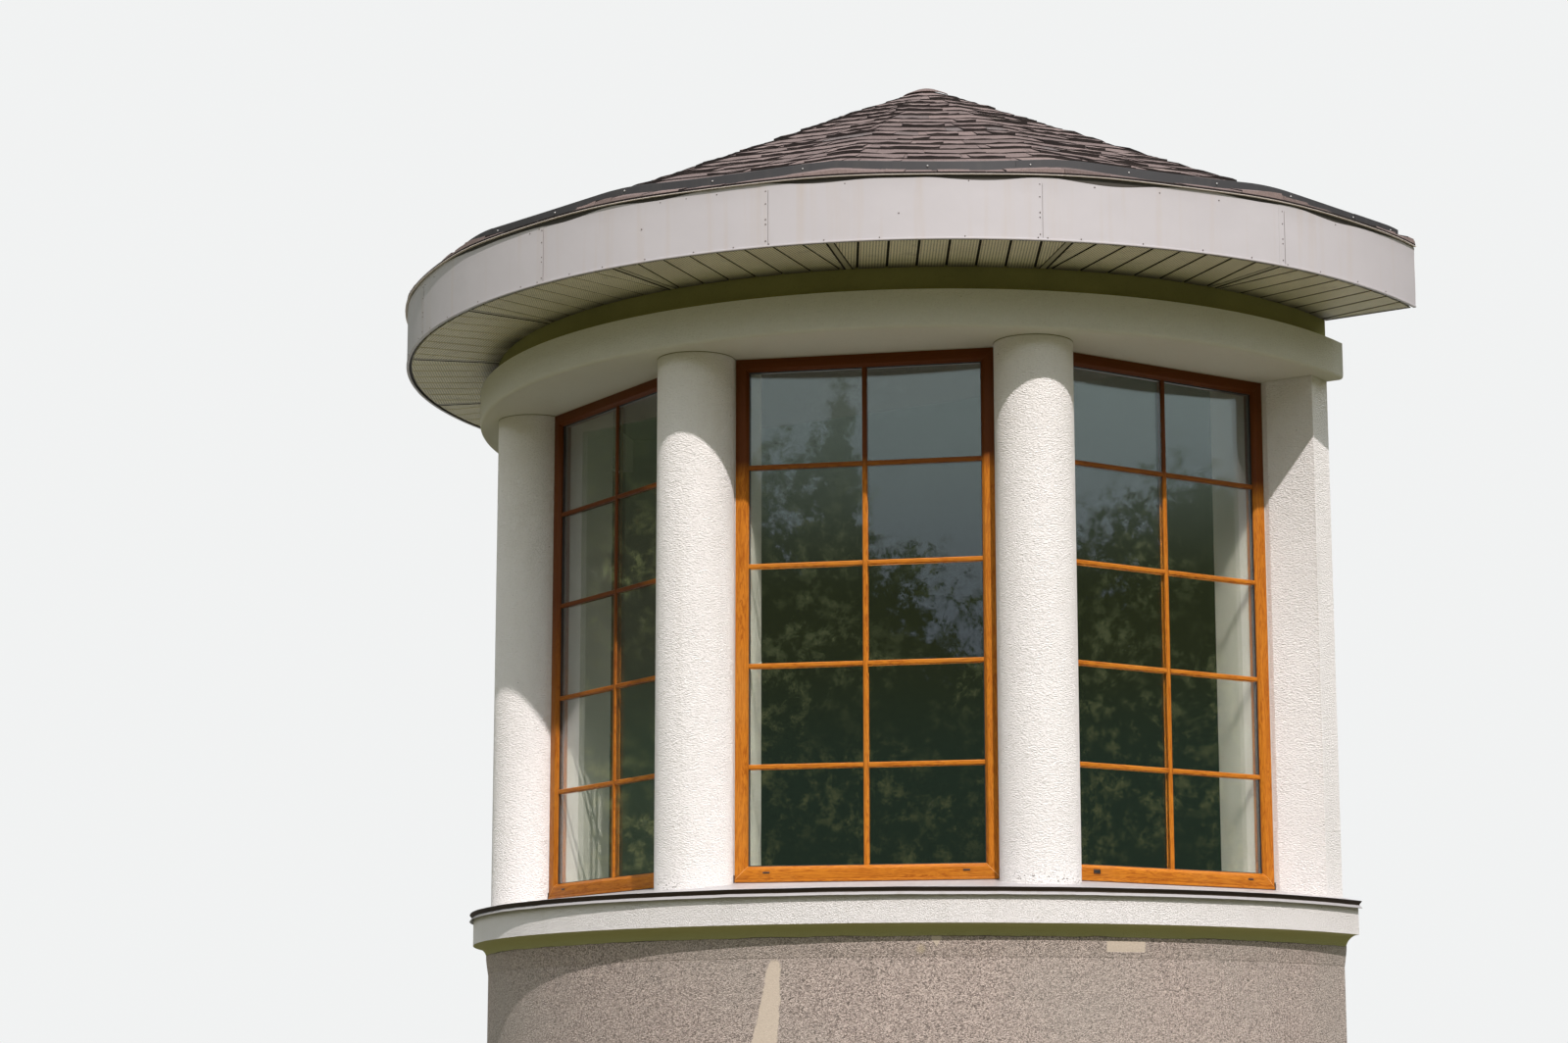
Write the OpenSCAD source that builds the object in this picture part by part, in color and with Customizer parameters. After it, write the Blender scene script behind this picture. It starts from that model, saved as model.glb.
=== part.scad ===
// Half-round bay window that stands on the ground and ends at the house wall.
// X runs along the house wall, -Y points away from the house and Z is up.
// Four flat windows stand on the sides of an octagon, between round columns on
// a round plinth. A faceted roof is trimmed by the round eave.
// Angles are counted from the bay's middle, and the right-hand side is positive.

/* [Windows] */
// Width of a window frame over all
window_w = 1400; // [1000:10:1700]
// Height of a window frame over all
window_h = 2800; // [1600:10:3200]
// Depth of a window frame, from outside to inside
frame_depth = 76; // [68:1:100]
// Face width of a frame's bars
frame_face = 70; // [60:1:100]
// Width of the sloping bead around the glass
bead_w = 16; // [8:1:24]
// Depth that the bead slopes back
bead_drop = 14; // [6:1:20]
// Depth of the glass behind the frame's outer face
glass_setback = 24; // [22:1:30]
// Thickness of a double-glazed pane
glass_t = 24; // [16:1:32]
// Depth of glass held in the frame's groove
glass_hold = 14; // [8:1:20]
// Room around the glass in its groove
glass_room = 3; // [1:0.5:5]
// Distance from the columns' centre line back to the frame's outer face
frame_setback = 18; // [0:1:60]
// Joint between a frame and the columns or the beam, filled with sealant
sealant_gap = 5; // [2:0.5:10]
// Depth of the plastered reveal behind a frame
reveal_depth = 104; // [90:1:200]
// Thickness of an inner window board
board_t = 28; // [18:1:40]
// Reach of a window board past the inner wall face
board_nose = 30; // [10:1:80]

/* [Columns and end piers] */
// Diameter of a round column
column_d = 420; // [300:5:500]
// Depth of an end pier, from its front face to the house wall
pier_depth = 200; // [150:5:300]

/* [Walls] */
// Height of the plinth wall, from the ground to the ledge
plinth_h = 2460; // [600:10:3000]
// Depth of the floor below the plinth's top
floor_drop = 60; // [0:5:200]
// Thickness of the floor slab
floor_t = 160; // [120:5:240]
// Depth that the floor and ceiling slabs bear on the wall
slab_bearing = 150; // [80:5:200]
// Room between a slab's edge and the wall
slab_room = 2; // [0.5:0.5:10]

/* [Ledge] */
// Height of the ledge's face
ledge_h = 175; // [100:5:300]
// Radius of the cove under the ledge's face
cove_r = 80; // [30:5:140]
// Reach of the cove's foot past the plinth
cove_foot = 10; // [2:1:30]
// Height of the window seats above the ledge
seat_rise = 85; // [75:1:140]
// Thickness of the sheet flashing
flashing_t = 3; // [2:0.5:5]
// Reach of the flashing's drip past the ledge
flashing_reach = 22; // [10:1:40]
// Height of the flashing's drip
flashing_drip = 48; // [20:1:80]
// Rise of the flashing for each unit of depth
flashing_slope = 0.11; // [0.05:0.01:0.13]
// Joint between two sheets of metal
sheet_joint = 2; // [1:0.5:4]

/* [Beam and upper wall] */
// Height of the ring beam's face
beam_h = 205; // [120:5:400]
// Reach of the ring beam past the wall
beam_reach = 100; // [40:5:160]
// Radius of the beam's lower edge
beam_round = 22; // [5:1:60]
// Height of the dark band between the beam and the soffit
band_h = 155; // [60:5:300]
// Thickness of the ceiling slab
ceiling_t = 120; // [80:5:150]

/* [Roof] */
// Reach of the eave past the wall
eave_reach = 540; // [300:10:800]
// Slope of a roof facet, in degrees
roof_slope = 25.6; // [15:0.1:40]
// Thickness of the roof boards
deck_t = 22; // [15:1:40]
// Height of the fascia
fascia_h = 317; // [240:1:420]
// Drop of the fascia below the soffit
fascia_drop = 14; // [5:1:40]
// Thickness of the fascia's sheet metal with its folded edges
fascia_t = 3; // [2:0.5:5]
// Width of a fascia sheet, in degrees
fascia_pitch = 25.7; // [15:0.1:45]
// Angle of the fascia seam next to the middle
fascia_seam = 16.3; // [1:0.1:20]
// Thickness of the curved board behind the fascia
eave_board_t = 24; // [15:1:40]
// Thickness of the soffit panels
soffit_t = 12; // [8:1:20]
// Width of a rafter
rafter_w = 60; // [40:1:100]
// Depth of a rafter
rafter_d = 160; // [120:5:200]
// Width of the wall plate
plate_w = 120; // [80:5:160]
// Height of the wall plate
plate_h = 80; // [60:5:120]
// Distance from the wall's outer face to the plate
plate_inset = 60; // [55:5:100]
// Height of a soffit bearer
bearer_h = 45; // [30:1:60]
// Radius of the block at the rafters' heads
head_block_r = 110; // [80:5:160]
// Height of the block at the rafters' heads
head_block_h = 340; // [260:10:500]
// Reach of the drip edge past the fascia
drip_reach = 8; // [3:1:30]
// Height of the drip edge, square to the roof
drip_h = 26; // [15:1:50]
// Distance from the eave up to the snow guard
guard_inset = 85; // [60:5:300]
// Height of the snow guard
guard_h = 52; // [30:1:80]
// Thickness of the snow guard
guard_t = 4; // [3:0.5:8]

/* [Hidden] */
$fn = 180;

// The octagon's sides and the roof's facets
side_half = 22.5;
facet_half = 11.25;
window_angles = [-67.5, -22.5, 22.5, 67.5];
facet_angles = [for (i = [0:7]) (2 * i - 7) * facet_half];
hip_angles = [for (i = [-4:4]) i * 2 * facet_half];

// Plan radii from the bay's centre: flat faces by their distance, round ones by radius
column_ring_r = (window_w / 2 + sealant_gap + column_d / 2) / sin(side_half);
wall_r = column_ring_r + column_d / 2;
frame_out = column_ring_r * cos(side_half) - frame_setback;
frame_in = frame_out - frame_depth;
room_in = frame_in - reveal_depth;
slab_edge = room_in + slab_bearing;
ledge_r = wall_r + cove_foot + cove_r;
beam_r = wall_r + beam_reach;
eave_r = wall_r + eave_reach;
eave_board_r = eave_r - fascia_t;
soffit_r = eave_board_r - eave_board_t;
roof_r = eave_r + drip_reach;
far = 2 * roof_r;
tall = 4 * roof_r;

// Heights above the ground
floor_z = plinth_h - floor_drop;
ledge_top = plinth_h + cove_r + ledge_h;
seat_z = ledge_top + seat_rise;
beam_z = seat_z + window_h + sealant_gap;
beam_top = beam_z + beam_h;
soffit_z = beam_top + band_h;
soffit_top = soffit_z + soffit_t;
fascia_z = soffit_z - fascia_drop;
fascia_top = fascia_z + fascia_h;

// The roof boards lie on the fascia at the middle of each facet
facet_fall = tan(roof_slope);
hip_fall = facet_fall * cos(facet_half);
hip_slope = atan(hip_fall);
under_apex = fascia_top + eave_r * facet_fall;
deck_apex = under_apex + deck_t / cos(roof_slope);
rafter_drop = rafter_w / 2 * facet_fall * sin(facet_half);
rafter_rise = rafter_d / cos(hip_slope);
plate_out = wall_r - plate_inset;
plate_in = plate_out - plate_w;
plate_top = under_apex - rafter_drop - rafter_rise - plate_in / cos(facet_half) * hip_fall;
wall_top = plate_top - plate_h;

// The origin is the middle of the whole part's box, on the ground
centre_y = roof_r / 2;

// Puts a shape that was drawn towards -Y at an angle of the bay
module at(angle) {
    rotate([0, 0, angle]) children();
}

// Plan of a sector around an angle, up to beyond the roof, with its sides set in
module sector_2d(angle, half, set_in = 0) {
    rotate(angle) translate([0, -set_in / sin(half)])
        polygon([[0, 0], [-far * tan(half), -far], [far * tan(half), -far]]);
}

// Plan of the space between the inner and outer faces of one side of the bay
module wall_side_2d(outer_r, inner) {
    intersection() {
        circle(r = outer_r);
        polygon([
            [-inner * tan(side_half), -inner], [-far * tan(side_half), -far],
            [far * tan(side_half), -far], [inner * tan(side_half), -inner]
        ]);
    }
}

// Plan of half an octagon whose sides lie at a distance from the centre
module half_octagon_2d(side) {
    corner_r = side / cos(side_half);
    polygon([for (angle = [-90:45:90]) corner_r * [sin(angle), -cos(angle)]]);
}

// What lies inside a flat face of the middle side
module inside_of(face) {
    translate([-far, -face, -tall]) cube([2 * far, far, 2 * tall]);
}

// A point beside a window's opening: how far out it lies, seen from the bay's centre
function jamb_point(window_angle, side, out) =
    let (half_w = window_w / 2 + sealant_gap)
    side * half_w * [cos(window_angle), sin(window_angle)]
    + out * [sin(window_angle), -cos(window_angle)];

// Plan of one column's round shaft
module column_2d(angle, extra = 0) {
    rotate(angle) translate([0, -column_ring_r]) circle(d = column_d + 2 * extra, $fn = 96);
}

// Plan of the right-hand end pier, between the last window's jamb and the outer corner
module right_pier_2d(extra = 0) {
    last = window_angles[3];
    depth = pier_depth + extra;
    front = ((window_w / 2 + sealant_gap) * sin(last) + depth) / cos(last);
    polygon([
        [wall_r, 0], [room_in / cos(side_half), 0], jamb_point(last, 1, room_in),
        jamb_point(last, 1, front), [wall_r, -depth]
    ]);
}

// Plan of an end pier, on the right for side 1 and on the left for side -1
module pier_2d(side, extra = 0) {
    scale([side, 1]) right_pier_2d(extra);
}

// What stands on the ledge: the columns and the end piers
module uprights_2d(extra = 0) {
    for (angle = [-45, 0, 45]) column_2d(angle, extra);
    for (side = [-1, 1]) pier_2d(side, extra);
}

module slice(z, height) {
    translate([0, 0, z]) linear_extrude(height) children();
}

// One side of a ring with the given outline of radius and height
module ring_side(angle, half = side_half) {
    rotate([0, 0, angle - half - 90]) rotate_extrude(angle = 2 * half) children();
}

// A layer along the middle roof facet's plane, down from a height at the apex
module facet_layer(apex_z, depth = tall) {
    translate([0, 0, apex_z]) rotate([roof_slope, 0, 0])
        translate([-far, -2 * far, -depth]) cube([2 * far, 2 * far, depth]);
}

// Each facet's own piece of a layer, between two radii and above a height
module facet_pieces(angles, outer_r, inner_r, low_z, apex_z, depth = tall) {
    for (angle = angles) at(angle) intersection() {
        slice(low_z, tall) intersection() {
            difference() {
                circle(r = outer_r);
                if (inner_r > 0) circle(r = inner_r);
            }
            sector_2d(0, facet_half, sheet_joint / 2);
        }
        facet_layer(apex_z, depth);
    }
}

module place() {
    translate([0, centre_y, 0]) children();
}

// Plinth wall of one side, with the slot that carries the floor
module plinth(angle) {
    slot = slab_edge + slab_room;
    color("rosybrown") place() at(angle) difference() {
        slice(0, plinth_h) wall_side_2d(wall_r, room_in);
        translate([-far, -slot, floor_z - floor_t]) cube([2 * far, far, floor_t]);
    }
}

module floor_slab() {
    color("gray") place() slice(floor_z - floor_t, floor_t) half_octagon_2d(slab_edge);
}

// Height of the flashing's upper face at a radius
function flashing_z(radius) =
    ledge_top + flashing_t + (ledge_r + flashing_reach - radius) * flashing_slope;

// Sloping mortar bed under the flashing, as radius and height
module mortar_2d() {
    bed_in = frame_out - 1;
    polygon([
        [bed_in, ledge_top - 1], [ledge_r, ledge_top - 1],
        [ledge_r, flashing_z(ledge_r) - flashing_t],
        [bed_in, flashing_z(bed_in) - flashing_t]
    ]);
}

// Ledge of one side with the seat for its window and a cove under its face
module ledge(angle) {
    color("white") place() difference() {
        at(angle) {
            difference() {
                slice(plinth_h, ledge_top - plinth_h) wall_side_2d(ledge_r, room_in);
                ring_side(0, 1.2 * side_half) translate([ledge_r, plinth_h]) circle(r = cove_r, $fn = 96);
            }
            translate([-window_w / 2, -frame_out, ledge_top - 1])
                cube([window_w, frame_out - room_in, seat_rise + 1]);
            difference() {
                ring_side(0) mortar_2d();
                inside_of(frame_out);
            }
        }
        slice(ledge_top, tall) uprights_2d();
    }
}

// Sloping sheet with a folded drip, as radius and height
module flashing_2d() {
    edge_r = ledge_r + flashing_reach;
    sheet_in = frame_out - 1;
    drip_z = flashing_z(edge_r) - flashing_drip;
    polygon([
        [sheet_in, flashing_z(sheet_in)], [edge_r, flashing_z(edge_r)],
        [edge_r, drip_z], [edge_r - 3 * flashing_t, drip_z],
        [edge_r - 3 * flashing_t, drip_z + flashing_t], [edge_r - flashing_t, drip_z + flashing_t],
        [edge_r - flashing_t, flashing_z(edge_r - flashing_t) - flashing_t],
        [sheet_in, flashing_z(sheet_in) - flashing_t]
    ]);
}

module sill_flashing() {
    joint_angle = sheet_joint / 2 / ledge_r * 180 / PI;
    color("lightgray") place() difference() {
        for (angle = window_angles) at(angle) difference() {
            ring_side(0, side_half - joint_angle) flashing_2d();
            inside_of(frame_out);
        }
        slice(0, tall) uprights_2d(flashing_t / 3);
    }
}

// Round shaft with the plastered jambs of the two windows beside it
module column(angle) {
    height = beam_z - ledge_top;
    jamb_out = frame_out - frame_depth / 3;
    color("ivory") place() at(angle) {
        slice(ledge_top, height) column_2d(0);
        slice(ledge_top, height) polygon([
            [0, -room_in / cos(side_half)], jamb_point(side_half, -1, room_in),
            jamb_point(side_half, -1, jamb_out), [0, -column_ring_r],
            jamb_point(-side_half, 1, jamb_out), jamb_point(-side_half, 1, room_in)
        ]);
    }
}

module end_pier(side) {
    color("ivory") place() slice(ledge_top, beam_z - ledge_top) pier_2d(side);
}

// Cross-section of a frame bar: depth from outside, then height from the outer edge
module frame_profile_2d() {
    groove = frame_face - glass_hold - glass_room;
    polygon([
        [0, 0], [0, frame_face - bead_w], [bead_drop, frame_face],
        [glass_setback, frame_face], [glass_setback, groove],
        [glass_setback + glass_t, groove], [glass_setback + glass_t, frame_face],
        [frame_depth, frame_face], [frame_depth, 0]
    ]);
}

// One bar of a frame with mitred ends
module frame_bar(length) {
    intersection() {
        rotate([90, 0, 90]) linear_extrude(length) frame_profile_2d();
        translate([0, frame_depth, 0]) rotate([90, 0, 0]) linear_extrude(frame_depth)
            polygon([[0, 0], [length, 0], [length - frame_face, frame_face], [frame_face, frame_face]]);
    }
}

module at_window(angle) {
    place() at(angle) translate([-window_w / 2, -frame_out, seat_z]) children();
}

module window_frame(angle) {
    color("peru") at_window(angle) {
        frame_bar(window_w);
        translate([window_w, 0, 0]) rotate([0, -90, 0]) frame_bar(window_h);
        translate([window_w, 0, window_h]) rotate([0, 180, 0]) frame_bar(window_w);
        translate([0, 0, window_h]) rotate([0, 90, 0]) frame_bar(window_h);
    }
}

module window_glass(angle) {
    edge = frame_face - glass_hold;
    color("darkslategray", 0.6) at_window(angle) translate([edge, glass_setback, edge])
        cube([window_w - 2 * edge, glass_t, window_h - 2 * edge]);
}

module window_boards() {
    color("whitesmoke") for (angle = window_angles)
        at_window(angle) translate([0, frame_depth, 0])
            cube([window_w, reveal_depth + board_nose, board_t]);
}

// Ring beam's face, with a rounded lower edge
module beam_2d() {
    translate([0, beam_z + beam_round]) square([beam_r, beam_h - beam_round]);
    translate([0, beam_z]) square([beam_r - beam_round, beam_h]);
    translate([beam_r - beam_round, beam_z + beam_round]) circle(r = beam_round, $fn = 48);
}

module ring_beam(angle) {
    color("white") place() at(angle) difference() {
        ring_side(0) beam_2d();
        inside_of(room_in);
    }
}

// Wall above the beam: a dark band outside, then hidden by the soffit
module upper_wall(angle) {
    color("darkolivegreen") place() at(angle)
        slice(beam_top, wall_top - beam_top) wall_side_2d(wall_r, slab_edge + slab_room);
}

module ceiling_slab() {
    color("gray") place() slice(beam_top, ceiling_t) half_octagon_2d(slab_edge);
}

// Straight plate timbers under the facets, mitred at the hips
module wall_plate() {
    color("burlywood") place() for (angle = facet_angles)
        at(angle) slice(wall_top, plate_h) intersection() {
            translate([-far / 2, -plate_out]) square([far, plate_w]);
            sector_2d(0, facet_half, sheet_joint / 2);
        }
}

// How far a timber under a hip is moved sideways. The last ones stand in front of the house wall.
function hip_shift(angle) = angle == 90 ? -rafter_w / 2 : angle == -90 ? rafter_w / 2 : 0;

// Rafter under a hip, with its head cut to a point between its neighbours
module rafter(angle) {
    top = under_apex - rafter_drop - abs(hip_shift(angle)) * facet_fall * sin(facet_half);
    end_fall = far / 2 * hip_fall;
    at(angle) intersection() {
        translate([hip_shift(angle) + rafter_w / 2, 0, 0]) rotate([0, -90, 0])
            linear_extrude(rafter_w) polygon([
                [top, 0], [top - end_fall, -far / 2],
                [top - rafter_rise - end_fall, -far / 2], [top - rafter_rise, 0]
            ]);
        slice(0, tall) sector_2d(0, facet_half, sheet_joint / 2);
    }
}

module rafters() {
    color("burlywood") place() intersection() {
        difference() {
            for (angle = hip_angles) rafter(angle);
            slice(0, tall) circle(r = head_block_r);
            slice(0, plate_top) circle(r = wall_r);
        }
        slice(soffit_top + bearer_h, tall) circle(r = soffit_r);
    }
}

module head_block() {
    block_top = under_apex - head_block_r * facet_fall;
    color("burlywood") place() intersection() {
        slice(block_top - head_block_h, head_block_h) circle(r = head_block_r);
        translate([-far, -2 * far, 0]) cube([2 * far, 2 * far, tall]);
    }
}

// Bearers between the wall and the eave board, under the rafters
module soffit_bearers() {
    color("burlywood") place() slice(soffit_top, bearer_h) difference() {
        intersection() {
            for (angle = hip_angles)
                rotate(angle) translate([hip_shift(angle) - rafter_w / 2, -far])
                    square([rafter_w, far]);
            circle(r = soffit_r);
        }
        circle(r = wall_r);
    }
}

// Soffit panels between the mitre strips
module soffit() {
    color("tan") place() for (angle = facet_angles)
        at(angle) slice(soffit_z, soffit_t) intersection() {
            difference() {
                circle(r = soffit_r);
                circle(r = wall_r);
            }
            sector_2d(0, facet_half, sheet_joint / 2);
        }
}

// Curved board that closes the eave up to the roof boards
module eave_board() {
    color("saddlebrown") place()
        facet_pieces(facet_angles, eave_board_r, soffit_r, soffit_z, under_apex);
}

// Sheet metal fascia with a folded lower edge, as radius and height
module fascia_2d() {
    fold = eave_board_t / 2;
    polygon([
        [eave_board_r, fascia_top], [eave_r, fascia_top], [eave_r, fascia_z],
        [eave_board_r - fold, fascia_z], [eave_board_r - fold, fascia_z + fascia_t],
        [eave_board_r, fascia_z + fascia_t]
    ]);
}

module fascia() {
    least = fascia_pitch / 4;
    first = ceil((least - 90 - fascia_seam) / fascia_pitch);
    last = floor((90 - least - fascia_seam) / fascia_pitch);
    ends = concat([-90], [for (i = [first:last]) fascia_seam + i * fascia_pitch], [90]);
    half_joint = sheet_joint / 2 / eave_r * 180 / PI;
    color("gainsboro") place() for (i = [0:len(ends) - 2]) {
        from = ends[i] + (i > 0 ? half_joint : 0);
        to = ends[i + 1] - (i < len(ends) - 2 ? half_joint : 0);
        rotate([0, 0, from - 90]) rotate_extrude(angle = to - from) fascia_2d();
    }
}

// Boards of the roof facets, trimmed by the round eave
module roof_deck(angles) {
    color("dimgray") place() facet_pieces(angles, eave_r, 0, 0, deck_apex, deck_t);
}

// Bent metal strip around the edge of the roof boards
module drip_edge() {
    color("gainsboro") place()
        facet_pieces(facet_angles, roof_r, eave_r, 0, deck_apex, drip_h);
}

// Upright strip that holds snow back, on the roof boards
module snow_guard() {
    guard_r = eave_r - guard_inset;
    guard_apex = deck_apex + guard_h / cos(roof_slope);
    color("black") place()
        facet_pieces(facet_angles, guard_r, guard_r - guard_t, 0, guard_apex, guard_h);
}

plinth(-67.5);  // plinth_left
plinth(-22.5);  // plinth_front_left
plinth(22.5);  // plinth_front_right
plinth(67.5);  // plinth_right
floor_slab();
ledge(-67.5);  // ledge_left
ledge(-22.5);  // ledge_front_left
ledge(22.5);  // ledge_front_right
ledge(67.5);  // ledge_right
sill_flashing();
column(-45);  // column_left
column(0);  // column_middle
column(45);  // column_right
end_pier(-1);  // end_pier_left
end_pier(1);  // end_pier_right
window_frame(-67.5);  // frame_left
window_frame(-22.5);  // frame_front_left
window_frame(22.5);  // frame_front_right
window_frame(67.5);  // frame_right
window_glass(-67.5);  // glass_left
window_glass(-22.5);  // glass_front_left
window_glass(22.5);  // glass_front_right
window_glass(67.5);  // glass_right
window_boards();
ring_beam(-67.5);  // beam_left
ring_beam(-22.5);  // beam_front_left
ring_beam(22.5);  // beam_front_right
ring_beam(67.5);  // beam_right
upper_wall(-67.5);  // upper_wall_left
upper_wall(-22.5);  // upper_wall_front_left
upper_wall(22.5);  // upper_wall_front_right
upper_wall(67.5);  // upper_wall_right
ceiling_slab();
wall_plate();
rafters();
head_block();
soffit_bearers();
soffit();
eave_board();
fascia();
roof_deck([for (i = [0:3]) facet_angles[i]]);  // roof_deck_left
roof_deck([for (i = [4:7]) facet_angles[i]]);  // roof_deck_right
drip_edge();
snow_guard();
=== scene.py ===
"""Looks of the half-round bay window: camera, light, finishes and the fine pieces on the fixed frame."""
import random
from math import atan2, ceil, cos, degrees, hypot, pi, radians, sin, sqrt, tan

import bmesh
import bpy
from mathutils import Matrix, Vector, noise


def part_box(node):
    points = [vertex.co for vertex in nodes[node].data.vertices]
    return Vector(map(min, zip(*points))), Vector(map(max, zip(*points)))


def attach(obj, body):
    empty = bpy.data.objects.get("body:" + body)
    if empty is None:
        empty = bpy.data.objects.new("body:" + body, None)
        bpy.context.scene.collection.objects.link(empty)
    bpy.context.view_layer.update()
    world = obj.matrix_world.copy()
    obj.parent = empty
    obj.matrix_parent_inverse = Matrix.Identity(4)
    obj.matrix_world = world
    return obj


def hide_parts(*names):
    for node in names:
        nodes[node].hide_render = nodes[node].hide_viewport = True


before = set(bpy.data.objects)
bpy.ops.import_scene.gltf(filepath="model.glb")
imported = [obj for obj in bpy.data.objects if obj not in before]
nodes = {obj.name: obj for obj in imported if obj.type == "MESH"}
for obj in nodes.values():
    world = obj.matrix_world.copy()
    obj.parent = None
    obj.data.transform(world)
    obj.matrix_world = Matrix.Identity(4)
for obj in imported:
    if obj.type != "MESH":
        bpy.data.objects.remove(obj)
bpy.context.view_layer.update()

# Sizes of the bay, read from the frame, in metres. In names, _r is a radius, _z a height above the
# ground, and _w, _h and _t are a width, a height and a thickness.
centre_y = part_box("floor_slab")[1].y
wall_r = -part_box("plinth_left")[0].x
flashing_r = -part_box("sill_flashing")[0].x
eave_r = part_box("fascia")[1].x
roof_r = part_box("drip_edge")[1].x
guard_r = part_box("snow_guard")[1].x
column_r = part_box("column_middle")[1].x
plinth_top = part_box("plinth_left")[1].z
seat_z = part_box("frame_left")[0].z
head_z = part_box("frame_left")[1].z
sheet_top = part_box("sill_flashing")[1].z
beam_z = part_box("beam_left")[0].z
soffit_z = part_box("soffit")[0].z
fascia_z, fascia_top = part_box("fascia")[0].z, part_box("fascia")[1].z
fascia_h = fascia_top - fascia_z
deck_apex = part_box("roof_deck_left")[1].z

# Angles around the bay, in degrees: 0 points away from the house and the right side is positive
side_half = 22.5
facet_half = 11.25
facet = 2 * facet_half
left_end, right_end = -90.0, 90.0
all_round = (left_end, right_end)
window_angles = {"left": -67.5, "front_left": -22.5, "front_right": 22.5, "right": 67.5}
facet_angles = [(2 * i - 7) * facet_half for i in range(8)]
hip_angles = [facet * i for i in range(-4, 5)]
column_angles = (-45.0, 0.0, 45.0)

# The roof's slope, in radians, and how much further out its level lines run at a hip
roof_slope = radians(25.6)
hip_flare = 1.0 / cos(radians(facet_half)) - 1.0

# Window frames, in metres
sealant_gap = 0.005
frame_setback = 0.018
frame_depth = 0.076
frame_face = 0.07
bead_w = 0.016
bead_drop = 0.014
glass_front = 0.024
pane_t = 0.004
unit_t = 0.024
bar_w = 0.026
pane_rows = 5
column_ring_r = wall_r - column_r
frame_out = column_ring_r * cos(radians(side_half)) - frame_setback
window_w = 2 * (column_ring_r * sin(radians(side_half)) - column_r - sealant_gap)
window_h = head_z - seat_z
clear_w, clear_h = window_w - 2 * frame_face, window_h - 2 * frame_face

# The finishes by name, filled in by make_finishes
finishes = {}


# Camera

def link(name, data):
    """Puts an object in the scene."""
    made = bpy.data.objects.new(name, data)
    bpy.context.scene.collection.objects.link(made)
    return made


def pointing(bearing, rise):
    """A direction, in degrees from +Y towards +X and above the horizon."""
    bearing, rise = radians(bearing), radians(rise)
    return Vector((sin(bearing) * cos(rise), cos(bearing) * cos(rise), sin(rise)))


def aim_camera():
    """Sets the camera where the photograph was taken from."""
    camera = bpy.data.cameras.new("camera")
    camera.sensor_width = 36.0
    camera.lens = 70.3
    camera.shift_y = 0.03
    camera.clip_end = 300.0
    holder = link("camera", camera)
    holder.location = (9.509, centre_y - 15.43, 1.676)
    holder.rotation_euler = pointing(-34.42, 9.8).to_track_quat("-Z", "Y").to_euler()
    bpy.context.scene.camera = holder


# Materials

def reckoned(operation):
    """A method that reckons with a value and up to one other."""
    def method(self, *others):
        return self.graph.read("Math", dict(enumerate((self, *others))), operation=operation)
    return method


class Value:
    """What a node gives: a number, a place, a colour or a shader, which others are made from."""

    __add__, __sub__, __mul__, __truediv__ = map(reckoned, ("ADD", "SUBTRACT", "MULTIPLY", "DIVIDE"))
    __abs__, root, fraction = map(reckoned, ("ABSOLUTE", "SQRT", "FRACT"))
    most, bearing = map(reckoned, ("MAXIMUM", "ARCTAN2"))

    def __init__(self, graph, socket):
        self.graph, self.socket = graph, socket

    def __rsub__(self, other):
        return self * -1.0 + other

    def fit(self, low, high, out_low=0.0, out_high=1.0, bend="LINEAR"):
        """The range low to high, stretched to another range and clamped."""
        inputs = {"Value": self, "From Min": low, "From Max": high, "To Min": out_low, "To Max": out_high}
        return self.graph.read("MapRange", inputs, "Result", interpolation_type=bend)

    def fall(self, low, high, top=1.0):
        """From top, at low, down to 0 at high."""
        return self.fit(low, high, top, 0.0)

    def ease(self, low, high):
        """From 0 at low to 1 at high, with a soft start and end."""
        return self.fit(low, high, bend="SMOOTHSTEP")

    def between(self, first, second):
        """The first colour or shader where this is 0, and the second where it is 1."""
        if isinstance(first, Value) and first.socket.type == "SHADER":
            return self.graph.read("MixShader", {0: self, 1: first, 2: second})
        return self.graph.read("Mix", {0: self, 6: first, 7: second}, 2, data_type="RGBA")

    def vector(self, operation, other, socket=1):
        return self.graph.read("VectorMath", {0: self, socket: other}, operation=operation)

    def split(self):
        return self.graph.read_all("SeparateXYZ", {0: self})

    def noise(self, scale, detail=4.0, roughness=0.55, distortion=0.0):
        inputs = {"Vector": self, "Scale": scale, "Detail": detail, "Roughness": roughness,
                  "Distortion": distortion}
        return self.graph.read("TexNoise", inputs)

    def cells(self, scale, **settings):
        """Scattered cells: first the distance from each one's middle, then its own colour."""
        return self.graph.read_all("TexVoronoi", {"Vector": self, "Scale": scale}, **settings)


def length_of(x, y):
    return (x * x + y * y).root()


class Graph:
    """The nodes of a material or of the world."""

    def __init__(self, tree):
        self.tree = tree

    def plug(self, socket, value):
        if isinstance(value, Value):
            self.tree.links.new(value.socket, socket)
        elif socket.type == "RGBA" and len(value) == 3:
            socket.default_value = (*value, 1.0)
        else:
            socket.default_value = value

    def add(self, kind, inputs=(), **settings):
        made = self.tree.nodes.new("ShaderNode" + kind)
        for name, value in settings.items():
            setattr(made, name, value)
        for name, value in dict(inputs).items():
            self.plug(made.inputs[name], value)
        return made

    def read(self, kind, inputs=(), output=0, **settings):
        """Adds a node and gives one of its outputs."""
        return Value(self, self.add(kind, inputs, **settings).outputs[output])

    def read_all(self, kind, inputs=(), **settings):
        return [Value(self, output) for output in self.add(kind, inputs, **settings).outputs]

    def ray_is(self, *kinds):
        """1 when a ray is of one of the kinds named."""
        rays = self.add("LightPath").outputs
        seen = Value(self, rays[kinds[0]])
        for kind in kinds[1:]:
            seen = seen.most(Value(self, rays[kind]))
        return seen


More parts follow.
